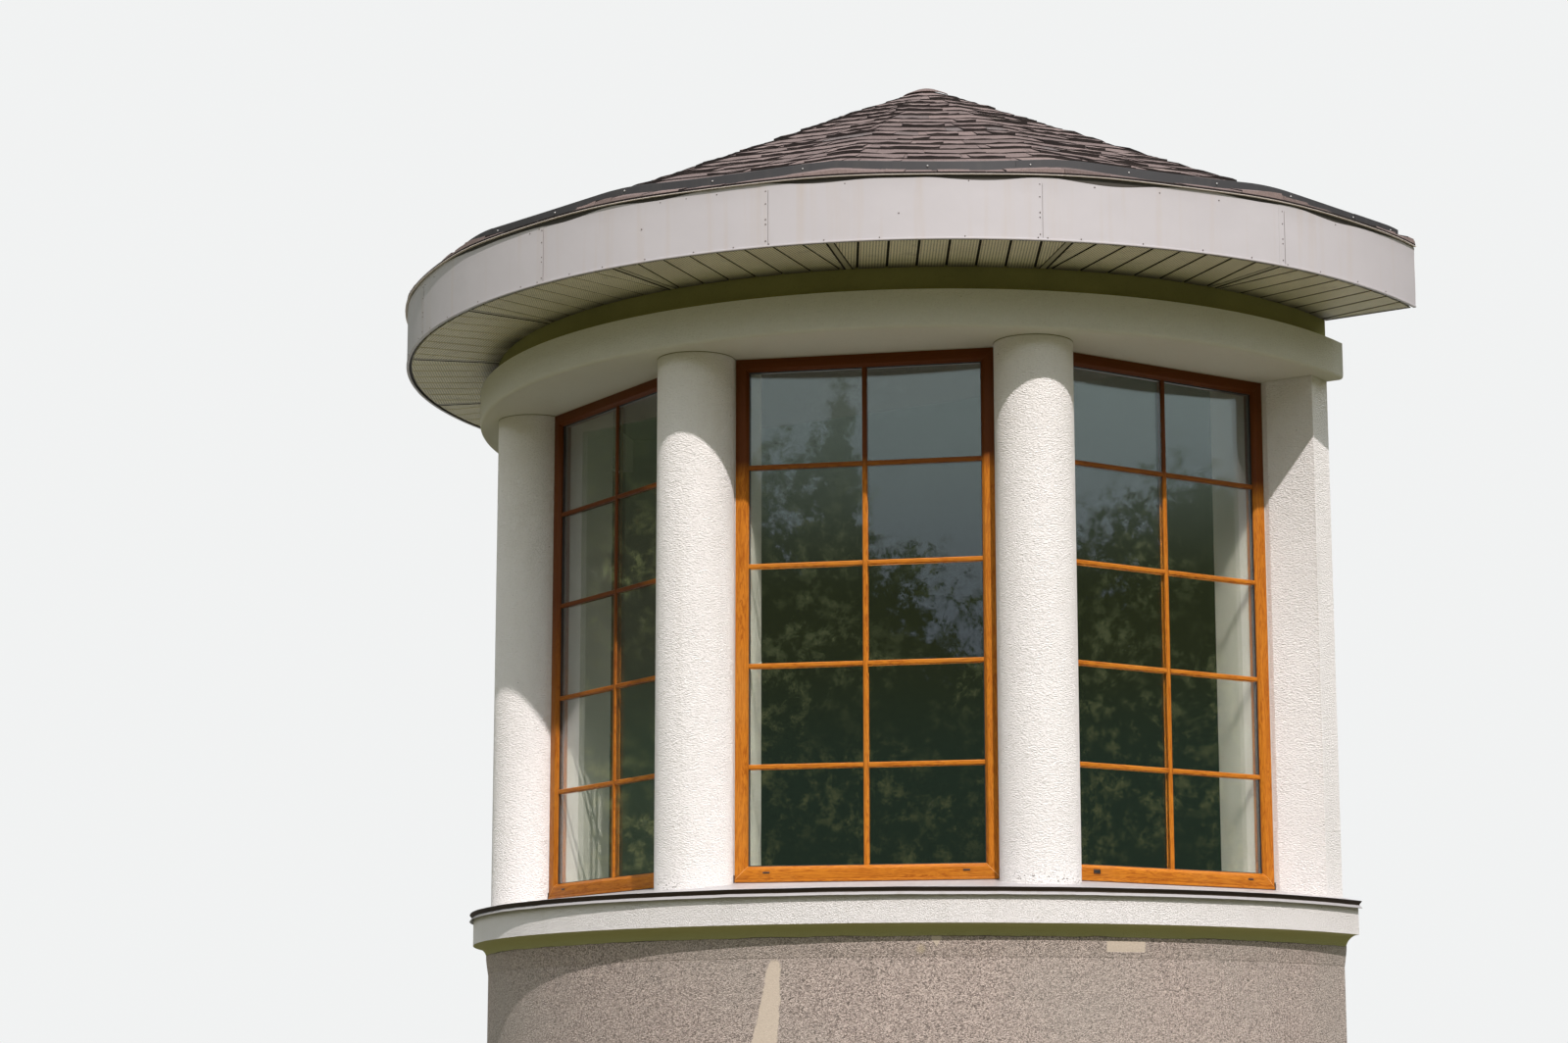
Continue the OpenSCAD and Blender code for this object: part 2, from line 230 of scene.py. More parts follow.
class Finish(Graph):
    """A material that is built up around one surface shader."""

    def __init__(self, name, roughness, shine=0.5):
        self.material = bpy.data.materials.new(name)
        self.material.use_nodes = True
        super().__init__(self.material.node_tree)
        self.shader = self.tree.nodes["Principled BSDF"]
        self.set("Roughness", roughness)
        self.set("Specular IOR Level", shine)

    def set(self, name, value):
        self.plug(self.shader.inputs[name], value)

    def done(self, colour, height, distance, strength=1.0):
        """Sets the colour, and a relief that stands distance metres proud where height is 1."""
        self.set("Base Color", colour)
        self.set("Normal", self.read("Bump", {"Height": height, "Distance": distance, "Strength": strength}))
        return self.material

    def place(self, x=1.0, y=1.0, z=1.0):
        """Coordinates on the piece in metres, stretched along each axis."""
        return self.read("TexCoord", output="Object").vector("MULTIPLY", (x, y, z))

    def polar(self):
        """Distance from the bay's centre, arc length around it at the wall, and height, in metres."""
        x, y, z = self.place().vector("SUBTRACT", (0.0, centre_y, 0.0)).split()
        return length_of(x, y), x.bearing(y * -1.0) * wall_r, z

    def facing_down(self, low, high):
        """How far a surface faces the ground, from 0 to 1."""
        return (self.read("NewGeometry", output="Normal").split()[2] * -1.0).fit(low, high)


def rough_stucco():
    """White trowelled render: rippled relief, dull patches, dark specks and run-off streaks, with painted
    shade on the beam, inside the room and in the cove.
    """
    finish = Finish("rough_white_stucco", 0.93, shine=0.3)
    spot = finish.place()
    radius, along, height = finish.polar()
    finer = height.fit(plinth_top + 0.25, plinth_top + 0.27, 1.6, 1.0)
    ripple = finish.place(0.42, 0.42, 1.1).vector("SCALE", finer, "Scale").noise(190.0, 1.5, 0.5, 0.5)
    streak = finish.place(9.0, 9.0, 0.5).noise(1.0, 4.0)
    white = spot.noise(1.7, 5.0).fit(0.35, 0.7).between((0.905, 0.872, 0.855), (0.865, 0.832, 0.812))
    dusty = streak.fit(0.58, 0.82, 0.0, 0.22).between(white, (0.66, 0.63, 0.57))
    pocked = ripple.fall(0.28, 0.42, 0.16).between(dusty, (0.56, 0.53, 0.49))

    speck = spot.cells(14.0)[0].fall(0.035, 0.055, 0.8) * spot.noise(5.0, 1.0).fit(0.52, 0.6)
    specked = speck.between(pocked, (0.16, 0.14, 0.12))
    foot = (height.fall(sheet_top, sheet_top + 0.06)
            * height.fit(sheet_top - 0.068, sheet_top - 0.064))
    mould = spot.noise(75.0, 4.0).fit(0.58, 0.64, 0.0, 0.8) * spot.noise(3.1, 1.0).fit(0.54, 0.6)
    mouldy = (foot * mould).between(specked, (0.1, 0.085, 0.06))

    # Painted shade: from the beam up, the stucco is painted darker and greener, as the eave shades it.
    painted_beam_shade = height.fit(beam_z - 0.012, beam_z, 0.0, 0.58).between(mouldy, (0.56, 0.555, 0.43))
    outside = radius.fit(frame_out - 0.025, frame_out - 0.01)
    # Painted shade: the inner faces from the beam up are painted dark for the room's shade.
    in_room = (1.0 - outside) * height.fit(beam_z - 0.01, beam_z, 0.0, 0.88)
    painted_room_shade = in_room.between(painted_beam_shade, (0.115, 0.108, 0.08))
    # Painted shade: downward faces low in the cove are painted olive, for shade lit green from below.
    painted_cove_shade = finish.facing_down(0.01, 0.08) * height.fit(plinth_top + 0.16, plinth_top + 0.14, 0.0, 0.88)
    shown = painted_cove_shade.between(painted_room_shade, (0.455, 0.44, 0.15))
    rippled = outside * (1.0 - finish.facing_down(0.15, 0.9))
    return finish.done(shown, ripple.fit(0.28, 0.72) * rippled, 0.0046)


def repairs(finish, spot, along, height, ragged):
    """Where the plinth is mended: a leaning streak, a square patch and a small chip."""
    streak_at, streak_top, streak_lean, soft = 0.618, plinth_top - 0.085, -0.13, 0.004
    drop = streak_top - height
    wander = (spot.noise(2.2, 2.0) - 0.5) * 0.04
    width = drop.fit(0.0, 0.45, 0.03, 0.072) * drop.fit(-0.01, 0.035, 0.2, 1.0)
    off = abs(along + wander - (drop * streak_lean + streak_at))
    in_streak = ((off + ragged - width).fall(-soft, soft) * (drop + ragged).fit(0.0, 0.02)
                 * drop.fall(0.9, 1.05))

    patch_at, patch_z, half_w, half_h = 2.435, plinth_top - 0.029, 0.105, 0.025
    in_patch = (abs(along - patch_at).fall(half_w, half_w + soft)
                * abs(height - patch_z).fall(half_h, half_h + soft))

    chip_at, chip_z = 1.452, plinth_top - 0.038
    flank = height.fit(chip_z, chip_z + 0.044, 0.0, 0.027)
    in_chip = ((abs(along - chip_at) - flank).fall(-0.003, 0.0)
               * height.fit(chip_z, chip_z + 0.003))
    return in_streak.most(in_patch).most(in_chip)


def plinth_render():
    """Pebble-dash with mended places, a stain, cracks and damp near the ground."""
    finish = Finish("pebble_dash", 0.95)
    spot = finish.place()
    radius, along, height = finish.polar()
    pebble, pebble_colour = spot.cells(190.0)[:2]
    stone = pebble_colour.split()[0].fit(0.1, 0.9).between((0.13, 0.105, 0.09), (0.62, 0.515, 0.46))
    pinkish = spot.noise(60.0, 3.0).fit(0.45, 0.7, 0.0, 0.6).between(stone, (0.45, 0.362, 0.318))
    blotch = spot.noise(1.3, 5.0)
    worn = blotch.fit(0.42, 0.72, 0.0, 0.45).between(pinkish, (0.36, 0.33, 0.29))

    ragged = (spot.noise(24.0, 3.0) - 0.5) * 0.03
    stain_at, stain_z = 1.375, plinth_top - 0.047
    away = length_of(along - stain_at, height - stain_z) + ragged
    stained = away.fall(0.01, 0.028, 0.45).between(worn, (0.52, 0.42, 0.26))
    mended = repairs(finish, spot, along, height, ragged)
    beige = spot.noise(90.0, 3.0).between((0.62, 0.53, 0.43), (0.53, 0.44, 0.35))
    mixed = (mended * 0.85).between(stained, beige)

    bend = finish.read("TexNoise", {"Vector": spot, "Scale": 2.6, "Detail": 4.0}, "Color")
    crack = finish.place(0.5, 0.5, 1.1).vector("ADD", bend).cells(0.8, feature="DISTANCE_TO_EDGE")[0]
    cracked = crack.fall(0.0, 0.0022, 0.55) * spot.noise(0.9, 2.0).fit(0.5, 0.58)
    lined = cracked.between(mixed, (0.16, 0.135, 0.12))
    wet = (blotch * 0.35 + height).fall(0.15, 0.75, 0.55)
    shown = wet.between(lined, (0.13, 0.125, 0.095))
    lumps = pebble.fall(0.0, 0.75) + spot.cells(95.0)[0].fall(0.0, 0.8, 0.35)
    return finish.done(shown, lumps * (1.0 - mended * 0.8) - cracked * 1.5, 0.003)


def oak_foil(name, light, dark):
    """Printed oak grain that runs along each bar, with shade painted darker under the beam and on the upper
    parts of the left windows.
    """
    finish = Finish(name, 0.42, shine=0.12)
    run = finish.read("UVMap", uv_map="grain")
    wave = run.vector("MULTIPLY", (2.2, 26.0, 1.0)).noise(1.0, 4.0, 0.6, 1.4)
    pore = run.vector("MULTIPLY", (26.0, 620.0, 1.0)).noise(1.0, 3.0, 0.6)
    ring = abs((wave * 7.0).fraction() - 0.5).fit(0.0, 0.32)
    figure = (ring * 0.8).between(dark, light)
    grained = pore.fall(0.3, 0.5, 0.55).between(figure, (0.16, 0.034, 0.003))
    faded = finish.place().noise(2.6, 4.0).fit(0.5, 0.75, 0.0, 0.3).between(grained, (0.57, 0.25, 0.045))
    radius, along, height = finish.polar()
    # Painted shade: frames left of the middle darken upwards, and every frame darkens near its head.
    painted_left_shade = along.fall(-0.7, -0.4) * height.fit(seat_z + 0.7, seat_z + 1.7, 0.15, 0.93)
    painted_shade = height.fit(head_z - 0.66, head_z - 0.56, 0.0, 0.93).most(painted_left_shade)
    finish.set("Roughness", pore.fit(0.3, 0.7, 0.52, 0.36))
    return finish.done(painted_shade.between(faded, (0.1, 0.024, 0.006)), pore + ring * 0.3, 0.0005, 0.5)


def window_glass():
    """Clear glass with a faint green tint and a little dust."""
    finish = Finish("window_glass", 0.0)
    finish.set("Transmission Weight", 1.0)
    finish.set("IOR", 1.52)
    spot = finish.place()
    finish.set("Roughness", spot.noise(9.0, 5.0, 0.6).fit(0.55, 0.9, 0.0, 0.04))
    return finish.done((0.87, 0.895, 0.87), spot.noise(1.4, 1.0), 0.004, 0.1)


def sheet_metal(name, colour, stain, roughness):
    """Coated sheet with soft dents, faint run-off streaks and a little dirt."""
    finish = Finish(name, roughness)
    spot = finish.place()
    cloud = spot.noise(3.0, 5.0)
    clean = cloud.fit(0.35, 0.7, 0.0, 0.5).between(colour, [c * 0.9 for c in colour])
    run_off = finish.place(14.0, 14.0, 0.7).noise(1.0, 4.0)
    streaked = run_off.fit(0.52, 0.78, 0.0, 0.4).between(clean, stain)
    finish.set("Roughness", cloud.fit(0.3, 0.7, roughness - 0.06, roughness + 0.1))
    return finish.done(streaked, spot.noise(7.0, 2.0) + spot.noise(600.0, 1.0) * 0.02, 0.0048, 0.35)


def soffit_vinyl():
    """Taupe panels with rows of small holes along each board, darker in blotches beside the wall."""
    finish = Finish("perforated_soffit", 0.55)
    spot = finish.place()
    pitch, hole, soft = 0.0155, 0.0035, 0.0006
    across, out = [(place / pitch).fraction() - 0.5
                   for place in finish.read("UVMap", uv_map="boards").split()[:2]]
    holes = length_of(across, out).fit(hole / pitch, (hole + soft) / pitch, 1.0, 0.0)
    dust = spot.noise(2.4, 5.0)
    taupe = dust.fit(0.35, 0.7).between((0.92, 0.86, 0.64), (0.76, 0.705, 0.515))
    webbed = spot.noise(11.0, 3.0).fit(0.6, 0.8, 0.0, 0.35).between(taupe, (0.2, 0.17, 0.12))
    radius, along, height = finish.polar()
    # Darker in blotches towards the wall.
    darker_by_wall = radius.fall(wall_r + 0.015, wall_r + 0.11, 0.92) * dust.fit(0.25, 0.5, 0.35, 1.0)
    shaded = darker_by_wall.between(webbed, (0.09, 0.075, 0.045))
    return finish.done((holes * 0.95).between(shaded, (0.012, 0.01, 0.008)), 1.0 - holes, 0.002, 0.8)


def shingle_stone():
    """Mineral granules in mauve-brown, with each tab's own tone."""
    finish = Finish("laminated_shingles", 0.93, shine=0.2)
    tone = finish.read("Attribute", output="Fac", attribute_name="tone")
    spot = finish.place()
    grit, grit_colour = spot.cells(420.0)[:2]
    speck = grit_colour.split()[0]
    mauve = tone.between((0.13, 0.096, 0.089), (0.245, 0.181, 0.166))
    weathered = tone.fall(0.0, 0.06).between(mauve, (0.13, 0.112, 0.108))
    light = tone.fit(0.95, 1.00).between(weathered, (0.285, 0.232, 0.195))
    granules = speck.fit(0.55, 1.0, 0.0, 0.55).between(light, (0.33, 0.258, 0.238))
    dark = speck.fall(0.0, 0.35, 0.55).between(granules, (0.07, 0.052, 0.048))
    bloom = spot.noise(2.1, 5.0).fit(0.5, 0.8, 0.0, 0.35)
    return finish.done(bloom.between(dark, (0.165, 0.126, 0.112)), 1.0 - grit, 0.0012, 0.8)


def timber(name, light, dark, around=False):
    """Sawn wood whose grain runs out from the bay's centre, or around it."""
    finish = Finish(name, 0.78)
    radius, along, height = finish.polar()
    fast, slow = (radius, along) if around else (along, radius)
    run = finish.read("CombineXYZ", {0: slow * 1.6, 1: fast * 34.0, 2: height * 34.0})
    figure = run.noise(1.0, 5.0, 0.6, 0.8)
    wood = figure.fit(0.3, 0.7).between(dark, light)
    knots = finish.place().cells(2.3)[0].fall(0.03, 0.08, 0.75)
    return finish.done(knots.between(wood, [c * 0.35 for c in dark]), figure, 0.0015, 0.5)


def plain_coat(name, light, dark, roughness, grain=60.0, relief=0.0006):
    """A painted or cast surface with clouds of colour and a fine grain. A dull one hardly shines."""
    finish = Finish(name, roughness, shine=0.12 if roughness > 0.75 else 0.5)
    spot = finish.place()
    fine = spot.noise(grain, 4.0)
    base = spot.noise(1.8, 6.0).fit(0.3, 0.7).between(light, dark)
    specked = fine.fall(0.25, 0.45, 0.3).between(base, [c * 0.6 for c in dark])
    return finish.done(specked, fine, relief, 0.6)


def inner_plaster():
    """Off-white plaster beside the windows, in the room's shade at the far left end."""
    finish = Finish("inner_plaster", 0.85)
    spot = finish.place()
    radius, along, height = finish.polar()
    pale = spot.noise(1.8, 6.0).fit(0.3, 0.7).between((0.47, 0.452, 0.4), (0.41, 0.392, 0.345))
    shaded = along.fall(-2.9, -2.6).between(pale, (0.115, 0.115, 0.092))
    return finish.done(shaded, spot.noise(40.0, 4.0), 0.0008, 0.6)


def make_finishes():
    """Makes every finish, most of them from tables of what sheet_metal, timber and plain_coat take."""
    finishes.update({
        "stucco": rough_stucco(),
        "plinth": plinth_render(),
        "oak": oak_foil("golden_oak_foil", (0.565, 0.197, 0.017), (0.335, 0.092, 0.008)),
        "weld": oak_foil("weld", (0.8, 0.46, 0.2), (0.72, 0.4, 0.16)),
        "glass": window_glass(),
        "soffit": soffit_vinyl(),
        "shingle": shingle_stone(),
        "plaster": inner_plaster(),
    })
    sheets = {
        "flashing": ((0.425, 0.407, 0.408), (0.27, 0.24, 0.2), 0.38),
        "fascia": ((0.515, 0.486, 0.5), (0.47, 0.39, 0.325), 0.42),
        "drip": ((0.76, 0.67, 0.6), (0.55, 0.47, 0.4), 0.45),
        "guard": ((0.038, 0.036, 0.038), (0.075, 0.068, 0.062), 0.6),
    }
    timbers = {
        "deck": ((0.5, 0.36, 0.22), (0.36, 0.24, 0.13), True),
        "rafter": ((0.6, 0.43, 0.25), (0.42, 0.27, 0.14)),
        "plate": ((0.58, 0.42, 0.25), (0.4, 0.26, 0.14), True),
        # Painted shade: the eave board is near-black, as the gap under the drip strip is in shade.
        "eave": ((0.055, 0.047, 0.036), (0.03, 0.025, 0.019), True),
    }
    coats = {
        "cap": ((0.12, 0.045, 0.014), (0.08, 0.03, 0.01), 0.4),
        "rubber": ((0.018, 0.017, 0.016), (0.012, 0.011, 0.01), 0.6),
        "spacer": ((0.05, 0.05, 0.048), (0.035, 0.035, 0.034), 0.45),
        "sealant": ((0.62, 0.58, 0.52), (0.5, 0.46, 0.4), 0.55),
        "nail": ((0.14, 0.11, 0.095), (0.09, 0.065, 0.05), 0.5),
        "rivet": ((0.75, 0.75, 0.74), (0.62, 0.62, 0.61), 0.35),
        "seam": ((0.3, 0.27, 0.26), (0.22, 0.2, 0.19), 0.6),
        "strip": ((0.56, 0.52, 0.38), (0.45, 0.42, 0.3), 0.5),
        # Painted shade: near-black for the soffit grooves and the hip strips' edges.
        "groove": ((0.026, 0.022, 0.014), (0.016, 0.013, 0.009), 0.8),
        "band": ((0.275, 0.262, 0.095), (0.215, 0.205, 0.074), 0.85, 90.0, 0.002),
        # Dark asphalt core of the shingle butts, painted darker still as the shade under each butt.
        "core": ((0.03, 0.024, 0.022), (0.018, 0.014, 0.013), 0.9),
        "joint": ((0.06, 0.04, 0.032), (0.035, 0.022, 0.018), 0.7),
        # Painted shade: near-black for the sill drip's upper, inward-sloping faces.
        "painted_drip_shade": ((0.05, 0.036, 0.024), (0.03, 0.022, 0.015), 0.8),
        # Painted shade: a dark olive line where each column meets the beam.
        "painted_crease_shade": ((0.215, 0.185, 0.085), (0.15, 0.125, 0.055), 0.9),
        # Painted shade: the room's ceiling is near-black, standing in for the dim room.
        "ceiling": ((0.04, 0.037, 0.03), (0.03, 0.027, 0.022), 0.85, 45.0, 0.0015),
        "concrete": ((0.46, 0.45, 0.43), (0.36, 0.35, 0.33), 0.9, 45.0, 0.0015),
        "white": ((0.8, 0.79, 0.76), (0.74, 0.73, 0.7), 0.35, 30.0, 0.0002),
    }
    for make, table in ((sheet_metal, sheets), (timber, timbers), (plain_coat, coats)):
        finishes.update({name: make(name, *looks) for name, looks in table.items()})


def finish_nodes():
    """Gives every CAD node its finish, found by the start of its name."""
    shown_as = {
        "plinth": "plinth", "floor_slab": "concrete", "ledge": "stucco", "sill_flashing": "flashing",
        "column": "stucco", "end_pier": "stucco", "frame": "oak", "glass": "glass", "window_boards": "white",
        "beam": "stucco", "upper_wall": "band", "ceiling_slab": "ceiling", "wall_plate": "plate",
        "rafters": "rafter", "head_block": "rafter", "soffit_bearers": "rafter", "soffit": "strip",
        "eave_board": "eave", "fascia": "fascia", "roof_deck": "deck", "drip_edge": "drip",
        "snow_guard": "guard",
    }
    for name, node in nodes.items():
        start = max((key for key in shown_as if name.startswith(key)), key=len)
        node.data.materials.clear()
        node.data.materials.append(finishes[shown_as[start]])


# Tools for the pieces

def move(x, y, z):
    return Matrix.Translation((x, y, z))


def turn(angle, axis):
    return Matrix.Rotation(radians(angle), 4, axis)


def turned(angle, out=0.0, z=0.0):
    """Where a shape drawn towards -Y goes: out from the bay's centre, up, and round to its angle."""
    return move(0.0, centre_y, 0.0) @ turn(angle, "Z") @ move(0.0, -out, z)


def waver(x, y, z):
    """A smooth random number from -1 to 1, the same each run."""
    return noise.noise(Vector((x, y, z)))


def nearest(angles, angle):
    return min(angles, key=lambda middle: abs(middle - angle))


def angle_of(point):
    return degrees(atan2(point.x, centre_y - point.y))


def push_out(vert, amount):
    """Moves a corner away from the bay's centre line."""
    flat = Vector((vert.co.x, vert.co.y - centre_y, 0.0))
    vert.co += flat.normalized() * amount


def join(whole, part, matrix=None):
    """Adds a finished part to a piece."""
    if matrix is not None:
        bmesh.ops.transform(part, matrix=matrix, verts=part.verts)
    mesh = bpy.data.meshes.new("part")
    part.to_mesh(mesh)
    part.free()
    whole.from_mesh(mesh)
    bpy.data.meshes.remove(mesh)


def put_in_scene(name, whole, shown_as, replaced=(), smooth=None):
    """Makes a piece of a finished mesh, with its finishes. Edges look round up to an angle of smooth."""
    mesh = bpy.data.meshes.new(name)
    whole.to_mesh(mesh)
    whole.free()
    for finish in shown_as:
        mesh.materials.append(finishes[finish])
    if smooth is not None:
        mesh.shade_smooth()
        mesh.set_sharp_from_angle(angle=radians(smooth))
    piece = link(name, mesh)
    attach(piece, "root")
    if replaced:
        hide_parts(*replaced)
    return piece


def colour_faces(part, index):
    for face in part.faces:
        face.material_index = index
    return part


def soften(part, edges, offset, segments, material=-1):
    bmesh.ops.bevel(part, geom=edges, offset=offset, segments=segments, profile=0.5, affect="EDGES",
                    material=material)


def thicken(part, thick):
    bmesh.ops.solidify(part, geom=part.faces[:], thickness=thick)


def cut_off(part, point, normal):
    """Takes away what lies beyond a plane."""
    bmesh.ops.bisect_plane(part, geom=part.verts[:] + part.edges[:] + part.faces[:], dist=1e-6,
                           plane_co=point, plane_no=normal, clear_outer=True)


def fill_holes(part):
    return bmesh.ops.holes_fill(part, edges=[e for e in part.edges if e.is_boundary], sides=0)["faces"]


def corners_among(made):
    return [v for v in made["geom"] if isinstance(v, bmesh.types.BMVert)]


def block(size, middle, rounding=0.0, segments=2, material=0):
    """A box with rounded edges."""
    part = bmesh.new()
    bmesh.ops.create_cube(part, size=1.0, matrix=Matrix.Translation(middle) @ Matrix.Diagonal((*size, 1.0)))
    if rounding:
        soften(part, part.edges[:], rounding, segments)
    return colour_faces(part, material)


def stud(segments, foot_r, head_r, depth):
    """A flat round head that points away from the bay."""
    part = bmesh.new()
    bmesh.ops.create_cone(part, cap_ends=True, segments=segments, radius1=foot_r, radius2=head_r, depth=depth,
                          matrix=turn(90, "X"))
    return part


def pushed(points, reach):
    """A solid made of one face that is pushed as far as reach, and the corners of that face."""
    part = bmesh.new()
    corners = [part.verts.new(point) for point in points]
    made = bmesh.ops.extrude_face_region(part, geom=[part.faces.new(corners)])
    bmesh.ops.translate(part, vec=reach, verts=corners_among(made))
    bmesh.ops.recalc_face_normals(part, faces=part.faces)
    return part, corners


def extruded(outline, length, rounding, rounded):
    """A bar along X whose end has an outline of depth and height, with some of its long edges rounded."""
    part, corners = pushed([(0.0, y, z) for y, z in outline], (length, 0.0, 0.0))
    edges = [e for i in rounded for e in corners[i].link_edges if e.other_vert(corners[i]).co.x > length / 2]
    soften(part, edges, rounding, 3)
    return part


def spun(profile, low, high, step=0.75, closed=False):
    """An outline of radius and height, turned around the bay from one angle to another, in degrees."""
    part = bmesh.new()
    start = [part.verts.new((radius, 0.0, z)) for radius, z in profile]
    pairs = list(zip(start, start[1:])) + ([(start[-1], start[0])] if closed else [])
    edges = [part.edges.new(pair) for pair in pairs]
    bmesh.ops.spin(part, geom=start + edges, axis=(0, 0, 1), cent=(0, 0, 0),
                   steps=max(1, round((high - low) / step)), angle=radians(high - low),
                   use_merge=False, use_duplicate=False)
    if closed:
        fill_holes(part)
    bmesh.ops.recalc_face_normals(part, faces=part.faces)
    bmesh.ops.transform(part, matrix=turned(low - 90.0), verts=part.verts)
    return part


def lapped(joints, lap):
    """Each length between two joints, with its number. All but the last reach over the next joint."""
    for i, (low, high) in enumerate(zip(joints, joints[1:])):
        yield i, low, high + (lap if i < len(joints) - 2 else 0.0)


def lay_map(part, name, rule):
    """Gives a part a map, by a rule that makes a place on it from a corner's place."""
    layer = part.loops.layers.uv.new(name)
    for face in part.faces:
        for loop in face.loops:
            loop[layer].uv = rule(loop.vert.co)
    return part


def lay_grain(part, shift):
    """A map for a bar that lies along X: length along, and the way around across."""
    return lay_map(part, "grain", lambda point: (point.x + shift, point.y + point.z + shift))


def lay_tone(part, tone):
    layer = part.verts.layers.float.new("tone")
    for vert in part.verts:
        vert[layer] = tone
    return part


# Windows

def mitred_bar(length, shift):
    """One frame bar with a sloping bead, a glass groove, mitred ends and a pale line along each mitre."""
    groove_deep, rounding, mitre_line = 0.017, 0.0028, 0.0011
    groove, glass_back = frame_face - groove_deep, glass_front + unit_t
    outline = [(0.0, 0.0), (0.0, frame_face - bead_w), (bead_drop, frame_face), (glass_front, frame_face),
               (glass_front, groove), (glass_back, groove), (glass_back, frame_face),
               (frame_depth, frame_face), (frame_depth, 0.0)]
    part = extruded(outline, length, rounding, (0, 1, 2, 7, 8))
    for x, lean in ((0.0, -1.0), (length, 1.0)):
        cut_off(part, (x, 0.0, 0.0), (lean, 0.0, 1.0))
    colour_faces(part, 0)
    ends = fill_holes(part)
    bmesh.ops.recalc_face_normals(part, faces=part.faces)
    soften(part, list({e for face in ends for e in face.edges}), mitre_line, 1, material=1)
    return lay_grain(part, shift)


def glazing_bar(length, shift, height):
    """A bar stuck on the glass, with sloping sides and soft edges. Its back lies at depth 0."""
    slope_w, rounding = 0.004, 0.0014
    side, flat, edge = bar_w / 2, bar_w / 2 - slope_w, height * 0.45
    outline = [(0.0, -side), (-edge, -side), (-height, -flat), (-height, flat), (-edge, side), (0.0, side)]
    return lay_grain(extruded(outline, length, rounding, (1, 2, 3, 4)), shift)


def build_frame(name, stand, rng):
    """Four mitred bars, drawn one after the other around the opening."""
    whole = bmesh.new()
    places = [(window_w, Matrix.Identity(4)),
              (window_h, move(window_w, 0, 0) @ turn(-90, "Y")),
              (window_w, move(window_w, 0, window_h) @ turn(180, "Y")),
              (window_h, move(0, 0, window_h) @ turn(90, "Y"))]
    for length, where in places:
        join(whole, mitred_bar(length, rng.uniform(0, 50)), stand @ where)
    put_in_scene("oak_frame_" + name, whole, ["oak", "weld"], ["frame_" + name], smooth=35)


def build_bars(name, stand, rng):
    """The upright and the level glazing bars, on the outside of the glass and on its inside."""
    bars = bmesh.new()
    pane_h = (clear_h - (pane_rows - 1) * bar_w) / pane_rows
    half = clear_w / 2 - bar_w / 2
    upright_proud, level_proud = 0.01, 0.0092
    for face_y, inside in ((glass_front, False), (glass_front + unit_t, True)):
        about = turn(180, "Z") if inside else Matrix.Identity(4)
        middle = move(window_w / 2, face_y, frame_face) @ about @ turn(-90, "Y")
        join(bars, glazing_bar(clear_h, rng.uniform(0, 50), upright_proud), stand @ middle)
        for row in range(1, pane_rows):
            z = frame_face + row * pane_h + (row - 0.5) * bar_w
            for start in (frame_face, frame_face + clear_w - half):
                where = move(start + half if inside else start, face_y, z) @ about
                join(bars, glazing_bar(half, rng.uniform(0, 50), level_proud), stand @ where)
    put_in_scene("glazing_bars_" + name, bars, ["oak"], smooth=35)


def build_glazing(name, stand):
    """Two panes, the spacer between them and the gaskets on both sides."""
    panes = bmesh.new()
    hidden, ground_edge = 0.01, 0.0006
    margin = frame_face - hidden
    size = (window_w - 2 * margin, pane_t, window_h - 2 * margin)
    for y in (glass_front + pane_t / 2, glass_front + unit_t - pane_t / 2):
        join(panes, block(size, (window_w / 2, y, window_h / 2), ground_edge, 1), stand)
    glazing = put_in_scene("panes_" + name, panes, ["glass"], ["glass_" + name])
    glazing.visible_shadow = False

    trims = bmesh.new()
    seal_h, seal_off, seal_proud, seal_in = 0.005, 0.0002, 0.0028, 0.001
    spacer_h, spacer_in, gap = 0.011, 0.006, 0.0005
    glass_back, inner_face = glass_front + unit_t, glass_front + pane_t + gap
    for index, inset, thick, low_y, high_y in (
            (0, frame_face - seal_in, seal_h, glass_front - seal_proud, glass_front - seal_off),
            (1, frame_face - spacer_in, spacer_h, inner_face, inner_face + unit_t - 2 * pane_t - 2 * gap),
            (0, frame_face - seal_in, seal_h, glass_back + seal_off, glass_back + seal_proud)):
        deep, y = high_y - low_y, (low_y + high_y) / 2
        wide, tall = window_w - 2 * inset, window_h - 2 * inset
        for z in (inset + thick / 2, window_h - inset - thick / 2):
            join(trims, block((wide, deep, thick), (window_w / 2, y, z), material=index), stand)
        for x in (inset + thick / 2, window_w - inset - thick / 2):
            join(trims, block((thick, deep, tall - 2 * thick), (x, y, window_h / 2), material=index), stand)
    put_in_scene("gaskets_and_spacers_" + name, trims, ["rubber", "spacer"])


def build_trims(name, stand):
    """Drain caps in the lower bar, one of them larger at the right window, and sealant on three sides."""
    caps = bmesh.new()
    small, large, from_end = (0.038, 0.0095), (0.046, 0.024), 0.17
    for x in (from_end, window_w - from_end):
        wide, tall = large if name == "right" and x == from_end else small
        join(caps, block((wide, 0.003, tall), (x, -0.0008, 0.036), tall * 0.14, 3), stand)
        join(caps, block((wide * 0.82, 0.002, tall * 0.55), (x, -0.002, 0.0354), tall * 0.1, 2, 1), stand)
    put_in_scene("drain_caps_" + name, caps, ["cap", "rubber"], smooth=35)

    sealant = bmesh.new()
    half, deep, y, tall = sealant_gap / 2, 0.014, 0.0085, window_h + sealant_gap
    for size, middle in (((sealant_gap, deep, tall), (-half, y, tall / 2)),
                         ((sealant_gap, deep, tall), (window_w + half, y, tall / 2)),
                         ((window_w, deep, sealant_gap), (window_w / 2, y, window_h + half))):
        join(sealant, block(size, middle, 0.0015), stand)
    put_in_scene("sealant_" + name, sealant, ["sealant"], smooth=35)


